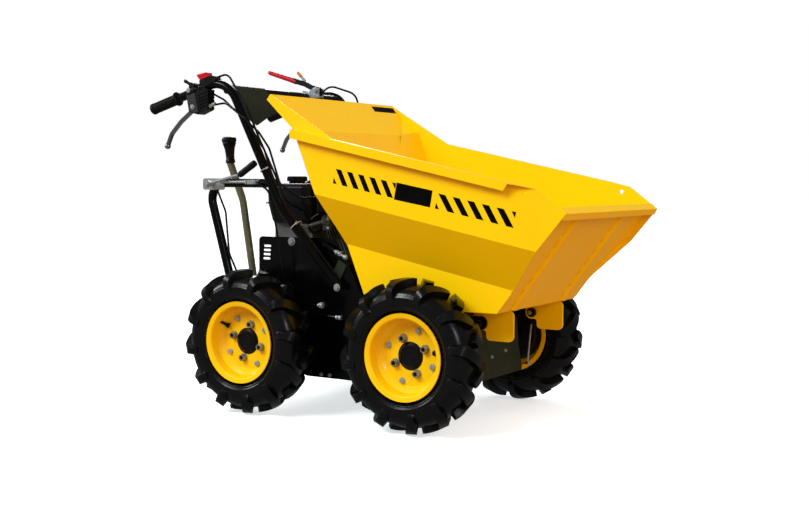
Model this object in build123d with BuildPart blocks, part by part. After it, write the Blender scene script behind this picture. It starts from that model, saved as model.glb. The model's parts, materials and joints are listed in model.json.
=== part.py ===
"""Walk-behind four-wheel site dumper with a tipping skip, as separate pieces in one frame.

X points forward, Y to the left and Z up. The origin is on the ground, under the middle of the
overall length and width. All sizes are in millimetres.
"""

from build123d import *
import math
import os

os.makedirs("parts", exist_ok=True)

# ---- Driving dimensions: running gear ----
WHEELBASE = 533.0
AXLE_MID_X = -20.0
AXLE_Z = 202.0
TRACK_HALF = 305.0
TYRE_R = 202.0
TYRE_W = 108.0
RIM_W = 88.0
RIM_FLANGE_R = 114.5
BEAD_R = 101.6
RIM_T = 3.0
DISC_T = 6.0
HUB_R = 40.0
HUB_CAP_R = 34.5
HUB_FLANGE_R = 62.0
STUB_R = 12.5
STUB_GAP = 0.03
AXLE_TUBE_R = 22.0
X_FRONT = AXLE_MID_X + WHEELBASE / 2
X_REAR = AXLE_MID_X - WHEELBASE / 2

# ---- Driving dimensions: skip ----
SHEET = 3.0
SKIP_HALF = 311.0
BELLY_HALF = 238.0
FOLD_SLOPE = 0.203
FOLD_1 = (-54.0, 614.0)
FOLD_2 = (-2.0, 480.0)
FLOOR_Z = 317.0
REAR_LEAN = 0.41
FRONT_LEAN = 0.745
RIM_CORNER = (594.0, 635.0)
RIM_SLOPE = 0.212
RIM_REAR_X = -125.0
TIP = (676.0, 574.0)
FLOOR_FRONT_X = 457.0
WING_TOP = (-203.0, 884.0)
WING_REAR = (-214.0, 870.0)
WING_FRONT_X = 5.0
FLANGE_OUT = 19.0
FLANGE_DROP = 23.0
RIB_Y = 150.0
RIB_LOW = FLOOR_Z + 6
RIB_HIGH = 572.0
TIE_HOLE = (569.0, 621.0)
TIE_HOLE_R = 6.5
PIVOT = (373.0, 281.0)
PIVOT_R = 8.0
PIVOT_GAP = 0.05
BRACKET_Y = 152.0
BRACKET_T = 6.0

# ---- Driving dimensions: chassis and handlebar ----
PANEL_Y = 200.0
RAIL_Y = 110.0
RAIL_W = 30.0
RAIL_TOP = 295.0
RAIL_H = 40.0
RAIL_REAR_X = -400.0
NOSE_REAR_X = 300.0
NOSE_X = 330.0
LUG_IN = 160.0
LUG_OUT = 166.0
LUG_R = 18.0
BRACE_Y = 222.0
DECK_T = 5.0
TUBE_R = 12.5
TUBE_WALL = 2.0
CABLE_R = 3.0
CRANK = (-300.0, 406.0)
CYLINDER_TILT = 25.0


def save(piece, name):
    """Labels a finished piece and writes it as one STEP file."""
    piece.part.label = name
    export_step(piece.part, f"parts/{name}.step")


def plate_xz(outline, y_low, y_high):
    """A flat plate with an outline in X and Z, between two Y planes."""
    with BuildPart(mode=Mode.PRIVATE) as plate:
        with BuildSketch(Plane.XZ.offset(-y_high)):
            with BuildLine():
                Polyline(*outline, close=True)
            make_face()
        extrude(amount=y_high - y_low)
    return plate.part


def mirrored(shape):
    """The same shape on the other side of the machine."""
    with BuildPart(mode=Mode.PRIVATE) as other:
        mirror(shape, about=Plane.XZ)
    return other.part


def box_between(low, high):
    """A rectangular block between two corners."""
    size = [b - a for a, b in zip(low, high)]
    centre = [(a + b) / 2 for a, b in zip(low, high)]
    with BuildPart(mode=Mode.PRIVATE) as block:
        with Locations(tuple(centre)):
            Box(*size)
    return block.part


def tube_along(points, radii, radius, wall=0.0):
    """A round bar or tube swept along straight runs joined by tangent arcs."""
    with BuildPart(mode=Mode.PRIVATE) as tube:
        with BuildLine() as route:
            if radii:
                FilletPolyline(*points, radius=radii)
            else:
                Polyline(*points)
        with BuildSketch(Plane(origin=route.line @ 0, z_dir=route.line % 0)):
            Circle(radius)
            if wall:
                Circle(radius - wall, mode=Mode.SUBTRACT)
        sweep()
    return tube.part


def cylinder_y(centre_xz, radius, y_low, y_high):
    """A solid cylinder along Y, about a point in X and Z."""
    with BuildPart(mode=Mode.PRIVATE) as rod:
        with BuildSketch(Plane.XZ.offset(-y_high)):
            with Locations(centre_xz):
                Circle(radius)
        extrude(amount=y_high - y_low)
    return rod.part


def rounded_plate(outline, radius, y_low, y_high):
    """A flat plate between two Y planes, with an outline in X and Z rounded at every corner."""
    with BuildPart(mode=Mode.PRIVATE) as plate:
        with BuildSketch(Plane.XZ.offset(-y_high)):
            with BuildLine():
                FilletPolyline(*outline, radius=radius, close=True)
            make_face()
        extrude(amount=y_high - y_low)
    return plate.part


def plane_through(first, second, third):
    """The plane through three points, with its origin at the first."""
    edge = Vector(*second) - Vector(*first)
    normal = edge.cross(Vector(*third) - Vector(*first))
    return Plane(origin=first, x_dir=edge, z_dir=normal)


# ---- Wheels: each is a tyre, a dished split rim and a hub with a blind running bore ----
def make_tyre():
    """Tyre in the wheel's own frame: the axle is Y, outward is +Y."""
    half = TYRE_W / 2
    bead = RIM_W / 2 - 3
    shoulder = TYRE_R - 34.0
    with BuildPart() as tyre:
        with BuildSketch(Plane.YZ):
            with BuildLine():
                Polyline(
                    (-bead, RIM_FLANGE_R + 2), (-bead, BEAD_R + 4), (4 - bead, BEAD_R),
                    (bead - 4, BEAD_R), (bead, BEAD_R + 4), (bead, RIM_FLANGE_R + 2),
                )
                ThreePointArc((bead, RIM_FLANGE_R + 2), (half, 146.0), (half - 6, shoulder))
                ThreePointArc((half - 6, shoulder), (half - 16, TYRE_R - 10), (half - 34, TYRE_R))
                Line((half - 34, TYRE_R), (34 - half, TYRE_R))
                ThreePointArc((34 - half, TYRE_R), (16 - half, TYRE_R - 10), (6 - half, shoulder))
                ThreePointArc((6 - half, shoulder), (-half, 146.0), (-bead, RIM_FLANGE_R + 2))
            make_face()
        revolve(axis=Axis.Y)
    return tyre.part


RIM_ROUTE = (  # distance out from the middle plane, radius: one pressed half, from its edge to the hub
    (46.0, 113.5), (42.6, 100.05), (16.0, 97.0), (8.0, 86.0), (DISC_T / 4, 80.0), (DISC_T / 4, HUB_CAP_R),
)


def make_rim():
    """Split steel rim in the wheel's own frame: two pressed halves with rolled edges, back to back."""
    with BuildPart() as rim:
        with BuildSketch(Plane.YZ):
            with BuildLine():
                FilletPolyline(*RIM_ROUTE, radius=5)
            trace(line_width=RIM_T)
        revolve(axis=Axis.Y)
        mirror(about=Plane.XZ)
    return rim.part


def make_hub():
    """Cast hub in the wheel's own frame: a bolting flange, a cap in the disc and a blind bore."""
    inner_end = -46.0
    with BuildPart() as hub:
        with BuildSketch(Plane.YZ):
            with BuildLine():
                Polyline(
                    (inner_end, STUB_R + STUB_GAP), (inner_end, HUB_R), (-DISC_T / 2 - 7, HUB_R),
                    (-DISC_T / 2 - 7, HUB_FLANGE_R), (-DISC_T / 2, HUB_FLANGE_R), (-DISC_T / 2, HUB_CAP_R),
                    (DISC_T / 2 + 1, HUB_CAP_R), (DISC_T / 2 + 5, HUB_CAP_R - 6), (DISC_T / 2 + 5, 0),
                    (-7, 0), (-7, STUB_R + STUB_GAP), close=True,
                )
            make_face()
        revolve(axis=Axis.Y)
    return hub.part


WHEELS = (  # name, axle X, side (+1 left, -1 right)
    ("front_right", X_FRONT, -1),
    ("front_left", X_FRONT, 1),
    ("rear_right", X_REAR, -1),
    ("rear_left", X_REAR, 1),
)
WHEEL_PIECES = (("tyre", make_tyre()), ("rim", make_rim()), ("hub", make_hub()))
for place, axle_x, side in WHEELS:
    for piece_name, shape in WHEEL_PIECES:
        with BuildPart() as wheel_piece:
            with Locations((axle_x, side * TRACK_HALF, AXLE_Z)):
                add(shape, rotation=(0, 0, 0 if side > 0 else 180))
        save(wheel_piece, f"{piece_name}_{place}")


# ---- Skip: folded side panels, and walls that fit between them ----
def rear_x(z):
    """X of the rear wall's outer face at a height."""
    return FOLD_1[0] + REAR_LEAN * (FOLD_1[1] - z)


def front_x(z):
    """X of the front wall's outer face at a height."""
    return FLOOR_FRONT_X + FRONT_LEAN * (z - FLOOR_Z)


def rim_z(x):
    """Height of the straight upper edge of the side panels."""
    return RIM_CORNER[1] + RIM_SLOPE * (RIM_CORNER[0] - x)


FOLD_DIR = Vector(1, 0, -FOLD_SLOPE).normalized()
FOLD_PLANE = Plane(origin=(FOLD_1[0], 0, FOLD_1[1]), x_dir=(0, 1, 0), z_dir=FOLD_DIR)
FOLD_DROP = (FOLD_1[1] - FOLD_2[1] + FOLD_SLOPE * (FOLD_1[0] - FOLD_2[0])) * FOLD_DIR.X
REACH = 1100.0
SIDE_OUTLINE = (
    TIP, RIM_CORNER, (WING_FRONT_X, rim_z(WING_FRONT_X)), WING_TOP, WING_REAR,
    (RIM_REAR_X, rim_z(RIM_REAR_X)), (rear_x(FLOOR_Z), FLOOR_Z), (FLOOR_FRONT_X, FLOOR_Z),
    (505.0, 379.0), (598.0, 481.0),
)


FLANGE_LIMIT = (  # X, Z: slanted ends of the rim flange
    (RIM_REAR_X + 2, 700.0), (RIM_REAR_X + 2, 900.0), (RIM_CORNER[0], 900.0), (RIM_CORNER[0], 630.0),
    (530.0, 644.5), (498.0, 600.0),
)
FLANGE_PLAN = (  # X, Y: the flange narrows to nothing at the front corner
    (-150.0, 300.0), (-150.0, 340.0), (530.0, 340.0), (530.0, 330.0), (RIM_CORNER[0], 311.5),
    (RIM_CORNER[0], 300.0),
)
LIP_FOLD = (  # X, Z of the front lip's folded edge, from its outer corner round to its inner corner
    TIP, (668.0, 558.0), (665.3, 559.3), (672.3, 573.3),
)
RIB_SECTION = (  # half width, height off the wall: outer line, then inner line
    ((22.0, 0.0), (12.0, 8.0)), ((18.0, 0.0), (10.5, 5.0)),
)


def side_section(inset):
    """Half section across the folds, as points from the bottom up, moved inwards by inset."""
    lean = math.atan2(SKIP_HALF - BELLY_HALF, FOLD_DROP)
    shift = inset * math.tan(lean / 2)
    return (
        (BELLY_HALF - inset, -REACH), (BELLY_HALF - inset, -FOLD_DROP + shift),
        (SKIP_HALF - inset, shift), (SKIP_HALF - inset, REACH),
    )


def skip_inside(inset=SHEET):
    """Long prism that fills the space between the two folded sides."""
    half = side_section(inset)
    with BuildPart(mode=Mode.PRIVATE) as prism:
        with BuildSketch(FOLD_PLANE):
            with BuildLine():
                Polyline(*half, *[(-y, w) for y, w in reversed(half)], close=True)
            make_face()
        extrude(amount=REACH, both=True)
    return prism.part


def wall_between_sides(outline):
    """A wall with an outline in X and Z, cut to the shape of the folded sides."""
    with BuildPart(mode=Mode.PRIVATE) as wall:
        add(plate_xz(outline, -SKIP_HALF, SKIP_HALF))
        add(INSIDE, mode=Mode.INTERSECT)
    return wall.part


INSIDE = skip_inside()

with BuildPart() as rim_flange:
    with BuildSketch(Plane(origin=(RIM_CORNER[0], 0, RIM_CORNER[1]), x_dir=(0, 1, 0),
                           z_dir=Vector(1, 0, -RIM_SLOPE).normalized())):
        with BuildLine():
            Polyline(
                (SKIP_HALF, 0), (SKIP_HALF + FLANGE_OUT, 0), (SKIP_HALF + FLANGE_OUT, -FLANGE_DROP),
                (SKIP_HALF + FLANGE_OUT - SHEET, -FLANGE_DROP), (SKIP_HALF + FLANGE_OUT - SHEET, -SHEET),
                (SKIP_HALF, -SHEET), close=True,
            )
        make_face()
    extrude(amount=-(RIM_CORNER[0] - RIM_REAR_X + 20))
    add(plate_xz(FLANGE_LIMIT, SKIP_HALF, SKIP_HALF + 2 * FLANGE_OUT), mode=Mode.INTERSECT)
    with BuildSketch(Plane.XY.offset(FLOOR_Z)):
        with BuildLine():
            Polyline(*FLANGE_PLAN, close=True)
        make_face()
    extrude(amount=REACH, mode=Mode.INTERSECT)

with BuildPart() as skip_side_left:
    with BuildSketch(FOLD_PLANE):
        with BuildLine():
            Polyline(*side_section(0.0), *reversed(side_section(SHEET)), close=True)
        make_face()
    extrude(amount=REACH, both=True)
    add(plate_xz(SIDE_OUTLINE, 0.0, SKIP_HALF + 1), mode=Mode.INTERSECT)
    with Locations(Plane(origin=(TIE_HOLE[0], SKIP_HALF, TIE_HOLE[1]), z_dir=(0, 1, 0))):
        Hole(TIE_HOLE_R, depth=2 * SHEET)
    add(rim_flange.part)
save(skip_side_left, "skip_side_left")

with BuildPart() as skip_side_right:
    mirror(skip_side_left.part, about=Plane.XZ)
save(skip_side_right, "skip_side_right")

with BuildPart() as skip_floor:
    add(wall_between_sides((
        (rear_x(FLOOR_Z), FLOOR_Z), (FLOOR_FRONT_X, FLOOR_Z),
        (front_x(FLOOR_Z + SHEET), FLOOR_Z + SHEET), (rear_x(FLOOR_Z + SHEET), FLOOR_Z + SHEET),
    )))
save(skip_floor, "skip_floor")

REAR_T = SHEET * math.hypot(1, REAR_LEAN)
FRONT_T = SHEET * math.hypot(1, FRONT_LEAN)
BEND_Z = rim_z(RIM_REAR_X)
LIP_BACK = (front_x(589.0), 589.0)
with BuildPart() as skip_rear_wall:
    low = FLOOR_Z + SHEET
    add(wall_between_sides((
        (rear_x(low), low), (rear_x(low) + REAR_T, low),
        (rear_x(BEND_Z) + REAR_T, BEND_Z), (rear_x(BEND_Z), BEND_Z),
    )))
save(skip_rear_wall, "skip_rear_wall")

BOARD_LEAN = (rear_x(BEND_Z) - WING_TOP[0]) / (WING_TOP[1] - BEND_Z)
BOARD_T = SHEET * math.hypot(1, BOARD_LEAN)
with BuildPart() as skip_back_board:
    add(wall_between_sides((
        (rear_x(BEND_Z), BEND_Z), (rear_x(BEND_Z) + REAR_T, BEND_Z),
        (WING_TOP[0] + BOARD_T, WING_TOP[1]), (WING_TOP[0], WING_TOP[1]),
    )))
save(skip_back_board, "skip_back_board")

with BuildPart() as skip_front_wall:
    low = FLOOR_Z + SHEET
    add(wall_between_sides((
        (front_x(low), low), (front_x(low) - FRONT_T, low), (LIP_BACK[0] - FRONT_T, LIP_BACK[1]),
        LIP_BACK, *LIP_FOLD, (front_x(LIP_BACK[1] - SHEET), LIP_BACK[1] - SHEET),
    )))
save(skip_front_wall, "skip_front_wall")

WALL_DIR = Vector(FRONT_LEAN, 0, 1).normalized()
RIB_LENGTH = (RIB_HIGH - RIB_LOW) * math.hypot(1, FRONT_LEAN)
with BuildPart() as skip_ribs:
    for side in (-1, 1):
        foot = (front_x(RIB_LOW), side * RIB_Y, RIB_LOW)
        with BuildSketch(Plane(origin=foot, x_dir=(0, -1, 0), z_dir=WALL_DIR)):
            with BuildLine():
                outer, inner = RIB_SECTION
                Polyline(*outer, *[(-w, h) for w, h in reversed(outer)], *[(-w, h) for w, h in inner],
                         *reversed(inner), close=True)
            make_face()
        extrude(amount=RIB_LENGTH)
save(skip_ribs, "skip_ribs")

GUSSET_EDGES = (  # X, Y, Z corners of the two flat faces of the left gusset
    ((-105.0, 312.0, 798.0), (-64.0, 312.0, 684.0), (-92.0, 150.0, 684.0), (-128.0, 236.0, 787.0)),
    ((-105.0, 312.0, 798.0), (-128.0, 236.0, 787.0), (-170.0, 312.0, 846.0)),
)
BEFORE_REAR = (  # X, Z: the space in front of the rear wall and the back board
    (rear_x(RIB_LOW) + REAR_T, RIB_LOW), (rear_x(BEND_Z) + REAR_T, BEND_Z),
    (WING_TOP[0] + BOARD_T, WING_TOP[1]), (PIVOT[0], WING_TOP[1]), (PIVOT[0], RIB_LOW),
)
with BuildPart() as skip_gussets:
    for corners in GUSSET_EDGES:
        face_plane = plane_through(*corners[:3])
        with BuildSketch(face_plane):
            with BuildLine():
                Polyline(*[tuple(face_plane.to_local_coords(Vector(*c)))[:2] for c in corners], close=True)
            make_face()
        extrude(amount=SHEET / 2, both=True)
    add(wall_between_sides(BEFORE_REAR), mode=Mode.INTERSECT)
    mirror(about=Plane.XZ)
save(skip_gussets, "skip_gussets")

BRACKET_ROUTE = (  # X, Z of the plate under the skip's front edge, and the radius at each bend
    ((349.0, FLOOR_Z), 0), ((349.0, 262.0), 16), ((384.0, 262.0), 8), ((384.0, 235.0), 12),
    ((463.0, 235.0), 15), ((463.0, 306.0), 4), ((455.0, FLOOR_Z), 0),
)
with BuildPart() as pivot_brackets:
    for side in (-1, 1):
        with BuildSketch(Plane.XZ.offset(-side * BRACKET_Y)):
            with BuildLine():
                points = [point for point, bend in BRACKET_ROUTE]
                FilletPolyline(*points, radius=[bend for point, bend in BRACKET_ROUTE[1:-1]])
                Line(points[-1], points[0])
            make_face()
        extrude(amount=BRACKET_T / 2, both=True)
    with Locations(Plane(origin=(PIVOT[0], 0, PIVOT[1]), z_dir=(0, 1, 0))):
        Cylinder(PIVOT_R + PIVOT_GAP, 2 * BRACKET_Y + 40, mode=Mode.SUBTRACT)
save(pivot_brackets, "pivot_brackets")

# ---- Chassis ----
RAIL_LOW = RAIL_TOP - RAIL_H
PANEL_IN = PANEL_Y - SHEET / 2
PANEL_OUT = PANEL_Y + SHEET / 2
LUG_OUTLINE = (
    (NOSE_REAR_X, RAIL_LOW), (NOSE_REAR_X, RAIL_TOP),
    (PIVOT[0], PIVOT[1] + LUG_R), (PIVOT[0], PIVOT[1] - LUG_R),
)
PIVOT_PIN = (  # radius, from, to: half widths of the pin through lug and bracket, and of its inner nut
    (PIVOT_R, 142.0, 174.0), (13.0, 134.0, 144.0), (13.0, LUG_OUT, 174.0),
)
with BuildPart() as chassis_frame:
    for side in (-1, 1):
        add(box_between((RAIL_REAR_X, side * RAIL_Y - RAIL_W / 2, RAIL_LOW),
                        (NOSE_REAR_X, side * RAIL_Y + RAIL_W / 2, RAIL_TOP)))
        add(plate_xz(LUG_OUTLINE, *sorted((side * LUG_IN, side * LUG_OUT))))
        add(cylinder_y(PIVOT, LUG_R, *sorted((side * LUG_IN, side * LUG_OUT))))
        for radius, y_from, y_to in PIVOT_PIN:
            add(cylinder_y(PIVOT, radius, *sorted((side * y_from, side * y_to))))
    add(box_between((NOSE_REAR_X, -LUG_OUT, RAIL_LOW), (NOSE_X, LUG_OUT, RAIL_TOP)))
    rear_half = BRACE_Y - TUBE_R
    add(box_between((RAIL_REAR_X, -rear_half, RAIL_LOW), (RAIL_REAR_X + 30, rear_half, RAIL_LOW + 30)))
    for cross_x in (-120.0, 120.0):
        add(box_between((cross_x - 20, -PANEL_IN, RAIL_LOW), (cross_x + 20, PANEL_IN, RAIL_LOW + 30)))
    add(box_between((-474, -80, RAIL_LOW), (RAIL_REAR_X, -20, RAIL_LOW + 6)))
save(chassis_frame, "chassis_frame")

PANEL_OUTLINE = (
    (-330.0, 490.0), (-60.0, 490.0), (40.0, 306.0), (160.0, 296.0), (160.0, 100.0), (-160.0, 100.0),
    (-330.0, 150.0),
)
PANEL_SLOTS = ((-300.0, 463.0), (-301.0, 451.0), (-302.0, 439.0), (-303.0, 427.0))
with BuildPart() as side_panels:
    for side in (-1, 1):
        add(rounded_plate(PANEL_OUTLINE, 12, *sorted((side * PANEL_IN, side * PANEL_OUT))))
    with BuildSketch(Plane.XZ):
        with Locations(*PANEL_SLOTS):
            SlotOverall(26, 6)
        with Locations((X_REAR, AXLE_Z)):
            Circle(AXLE_TUBE_R + 1)
    extrude(amount=PANEL_OUT + 5, both=True, mode=Mode.SUBTRACT)
save(side_panels, "side_panels")

with BuildPart() as engine_deck:
    add(box_between((-400, -PANEL_IN, RAIL_TOP), (-115, PANEL_IN, RAIL_TOP + DECK_T)))
save(engine_deck, "engine_deck")

with BuildPart() as skid_plate:
    add(box_between((-160, -PANEL_IN, 100), (160, PANEL_IN, 103)))
save(skid_plate, "skid_plate")

FRONT_PLATE_OUTLINE = (  # Y, Z
    (-165.0, 112.0), (165.0, 112.0), (138.0, 190.0), (130.0, RAIL_LOW + 12), (-130.0, RAIL_LOW + 12),
    (-138.0, 190.0),
)
with BuildPart() as front_plate:
    with BuildSketch(Plane.YZ.offset(NOSE_X)):
        with BuildLine():
            FilletPolyline(*FRONT_PLATE_OUTLINE, radius=8, close=True)
        make_face()
    extrude(amount=SHEET)
save(front_plate, "front_plate")

AXLE_TUBE_END = TRACK_HALF - 48.0
STUB_END = TRACK_HALF - 9.0
AXLE_CASTING = (  # Y from the middle, radius: the front drive case, with a bolted joint round it
    (72.0, AXLE_TUBE_R), (64.0, 34.0), (34.0, 52.0), (7.0, 55.0), (7.0, 61.0),
)
with BuildPart() as front_axle:
    add(cylinder_y((X_FRONT, AXLE_Z), AXLE_TUBE_R, -AXLE_TUBE_END, AXLE_TUBE_END))
    add(cylinder_y((X_FRONT, AXLE_Z), STUB_R, -STUB_END, STUB_END))
    with BuildSketch(Plane.YZ.offset(X_FRONT)):
        with BuildLine():
            half = [(y, AXLE_Z + radius) for y, radius in AXLE_CASTING]
            Polyline((-72, AXLE_Z), (72, AXLE_Z), *half, *[(-y, z) for y, z in reversed(half)], close=True)
        make_face()
    revolve(axis=Axis((X_FRONT, 0, AXLE_Z), (0, 1, 0)))
    with BuildSketch(Plane.YZ.offset(X_FRONT - 104)):
        with Locations((0, AXLE_Z)):
            Circle(24)
    extrude(amount=70, taper=-8)
    for side in (-1, 1):
        add(box_between((X_FRONT - 20, side * RAIL_Y - 15, AXLE_Z),
                        (X_FRONT + 20, side * RAIL_Y + 15, RAIL_LOW)))
save(front_axle, "front_axle")

GEARBOX_OUTLINE = (
    (-350.0, 150.0), (-320.0, 118.0), (-240.0, 118.0), (-215.0, 150.0), (-215.0, 277.0), (-350.0, 277.0),
)
with BuildPart() as rear_gearbox:
    add(rounded_plate(GEARBOX_OUTLINE, 14, -85, 85))
    fillet(rear_gearbox.edges().group_by(Axis.Y)[0], 8)
    fillet(rear_gearbox.edges().group_by(Axis.Y)[-1], 8)
    with BuildSketch(Plane.XZ):
        with BuildLine():
            FilletPolyline(*GEARBOX_OUTLINE, radius=14, close=True)
        make_face()
        offset(amount=8)
    extrude(amount=6, both=True)
    add(box_between((-320, -RAIL_Y + 15, RAIL_LOW), (-250, RAIL_Y - 15, 285)))
    add(cylinder_y((X_REAR, AXLE_Z), AXLE_TUBE_R + 12, -100, 100))
    add(cylinder_y((X_REAR, AXLE_Z), AXLE_TUBE_R, -AXLE_TUBE_END, AXLE_TUBE_END))
    add(cylinder_y((X_REAR, AXLE_Z), STUB_R, -STUB_END, STUB_END))
save(rear_gearbox, "rear_gearbox")

with BuildPart() as drive_shaft:
    with BuildSketch(Plane.YZ.offset(-215)):
        with Locations((0, AXLE_Z)):
            Circle(14)
    extrude(amount=X_FRONT - 57 + 215)
    for yoke_x in (-190.0, 110.0):
        with BuildSketch(Plane.YZ.offset(yoke_x)):
            with Locations((0, AXLE_Z)):
                RectangleRounded(46, 34, 8)
        extrude(amount=30)
    add(front_axle.part, mode=Mode.SUBTRACT)
    add(rear_gearbox.part, mode=Mode.SUBTRACT)
save(drive_shaft, "drive_shaft")

with BuildPart() as skip_rests:
    for side in (-1, 1):
        with Locations((80, side * RAIL_Y, RAIL_TOP)):
            Cylinder(14, FLOOR_Z - RAIL_TOP - 1, align=(Align.CENTER, Align.CENTER, Align.MIN))
save(skip_rests, "skip_rests")

# ---- Engine: crankcase, finned cylinder leaning forward, tank, starter, silencer and air cleaner ----
BASE_Z = RAIL_TOP + DECK_T
with BuildPart() as engine_block:
    add(box_between((-385, -78, BASE_Z), (-228, 78, 468)))
    fillet(engine_block.edges().filter_by(Axis.Y), 22)
    add(box_between((-390, -82, BASE_Z), (-222, 82, BASE_Z + 10)))
    add(box_between((-350, -100, 440), (-215, 60, 525)))
    add(cylinder_y(CRANK, 62, -100, -78))
    add(cylinder_y(CRANK, 11, -150, -78))
save(engine_block, "engine_block")

CYL_DIR = Vector(math.cos(math.radians(CYLINDER_TILT)), 0, math.sin(math.radians(CYLINDER_TILT)))
CYL_PLANE = Plane(origin=(CRANK[0], 0, CRANK[1]), x_dir=(0, 1, 0), z_dir=CYL_DIR)
FIN_PITCH = 9.0
FIN_COUNT = 11
with BuildPart() as engine_cylinder:
    with BuildSketch(CYL_PLANE.offset(60)):
        Circle(45)
    extrude(amount=125)
    for fin in range(FIN_COUNT):
        with BuildSketch(CYL_PLANE.offset(85 + fin * FIN_PITCH)):
            RectangleRounded(128, 112, 14)
        extrude(amount=3)
    with BuildSketch(CYL_PLANE.offset(184)):
        RectangleRounded(110, 96, 12)
    extrude(amount=20)
    with BuildSketch(CYL_PLANE.offset(204)):
        RectangleRounded(96, 72, 14)
    extrude(amount=30, taper=6)
    add(engine_block.part, mode=Mode.SUBTRACT)
save(engine_cylinder, "engine_cylinder")

TANK_LOW, TANK_SEAM, TANK_HIGH = 525.0, 584.0, 641.0
TANK_CENTRE = (-280.0, -25.0)
with BuildPart() as fuel_tank:
    with BuildSketch(Plane.XY.offset(TANK_SEAM)):
        with Locations(TANK_CENTRE):
            RectangleRounded(166, 226, 34)
    extrude(amount=TANK_HIGH - TANK_SEAM)
    with BuildSketch(Plane.XY.offset(TANK_SEAM)):
        with Locations(TANK_CENTRE):
            RectangleRounded(166, 226, 34)
    extrude(amount=TANK_LOW - TANK_SEAM, taper=14)
    fillet(fuel_tank.faces().sort_by(Axis.Z)[-1].edges(), 16)
    fillet(fuel_tank.faces().sort_by(Axis.Z)[0].edges(), 14)
    with BuildSketch(Plane.XY.offset(TANK_SEAM - 2)):
        with Locations(TANK_CENTRE):
            RectangleRounded(180, 240, 38)
    extrude(amount=4)
save(fuel_tank, "fuel_tank")

with BuildPart() as fuel_cap:
    with Locations((-306, -50, TANK_HIGH)):
        Cylinder(24, 8, align=(Align.CENTER, Align.CENTER, Align.MIN))
    with Locations((-306, -50, TANK_HIGH + 6)):
        Cylinder(30, 15, align=(Align.CENTER, Align.CENTER, Align.MIN))
save(fuel_cap, "fuel_cap")

STARTER = (CRANK[0], 418.0)
with BuildPart() as recoil_starter:
    add(cylinder_y(STARTER, 102, 78, 118))
    add(cylinder_y(STARTER, 74, 118, 146))
    chamfer(recoil_starter.edges().group_by(Axis.Y)[-1], 8)
    with BuildSketch(Plane.XZ.offset(-146)):
        with Locations(STARTER):
            with PolarLocations(44, 12):
                SlotOverall(28, 7)
    extrude(amount=6, mode=Mode.SUBTRACT)
    add(box_between((-345, 78, BASE_Z + 12), (-255, 110, 380)))
    add(fuel_tank.part, mode=Mode.SUBTRACT)
save(recoil_starter, "recoil_starter")

MUFFLER_LOW, MUFFLER_HIGH = (-180.0, 12.0, 552.0), (-88.0, 132.0, 622.0)
with BuildPart() as muffler:
    add(box_between(MUFFLER_LOW, MUFFLER_HIGH))
    fillet(muffler.edges(), 12)
    with BuildSketch(Plane.YZ.offset(MUFFLER_HIGH[0])):
        with Locations(*[(72, 566 + row * 10.5) for row in range(5)]):
            SlotOverall(84, 5)
    extrude(amount=-4, mode=Mode.SUBTRACT)
    add(cylinder_y((-134, 587), 11, 128, 150))
    add(box_between((-150, 30, 528), (-132, 56, 560)))
    add(engine_cylinder.part, mode=Mode.SUBTRACT)
save(muffler, "muffler")

CLEANER_LOW, CLEANER_HIGH = (-182.0, -135.0, 552.0), (-86.0, -4.0, 640.0)
with BuildPart() as air_cleaner:
    add(box_between(CLEANER_LOW, CLEANER_HIGH))
    fillet(air_cleaner.edges(), 14)
    with BuildSketch(Plane.XZ.offset(92)):
        Rectangle(1200, 1400)
        with Locations(((CLEANER_LOW[0] + CLEANER_HIGH[0]) / 2, 596)):
            RectangleRounded(91, 83, 13, mode=Mode.SUBTRACT)
    extrude(amount=4, mode=Mode.SUBTRACT)
    add(cylinder_y((-134, 596), 13, -147, -130))
    add(box_between((-152, -56, 528), (-130, -25, 560)))
    add(engine_cylinder.part, mode=Mode.SUBTRACT)
save(air_cleaner, "air_cleaner")

# ---- Handlebar: bent side tubes, cross tube, braces, cover and controls ----
HANDLE_POINTS = (  # X, Y, Z of the left tube's route, from the foot to the end of the grip
    (-41.0, 214.0, 358.0), (-221.0, 237.0, 572.0), (-383.0, 275.0, 938.0), (-660.0, 276.0, 858.0),
)
HANDLE_RADII = (90.0, 75.0)
HANDLE_LEFT = tube_along(HANDLE_POINTS, HANDLE_RADII, TUBE_R)
HANDLE_BOTH = (HANDLE_LEFT, mirrored(HANDLE_LEFT))
with BuildPart() as handlebar_tubes:
    add(tube_along(HANDLE_POINTS, HANDLE_RADII, TUBE_R, TUBE_WALL))
    mirror(about=Plane.XZ)
save(handlebar_tubes, "handlebar_tubes")

CROSS = (-386.0, 906.0)
with BuildPart() as handlebar_cross_tube:
    add(cylinder_y(CROSS, TUBE_R, -274, 274))
    add(HANDLE_BOTH, mode=Mode.SUBTRACT)
save(handlebar_cross_tube, "handlebar_cross_tube")

BRACE_POINTS = ((-385.0, BRACE_Y, 250.0), (-502.0, BRACE_Y, 642.0), (-246.0, 232.0, 642.0))
BRACE_LEFT = tube_along(BRACE_POINTS, (48.0,), TUBE_R)
with BuildPart() as brace_tubes:
    add(BRACE_LEFT)
    add(HANDLE_LEFT, mode=Mode.SUBTRACT)
    mirror(about=Plane.XZ)
save(brace_tubes, "brace_tubes")

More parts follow.
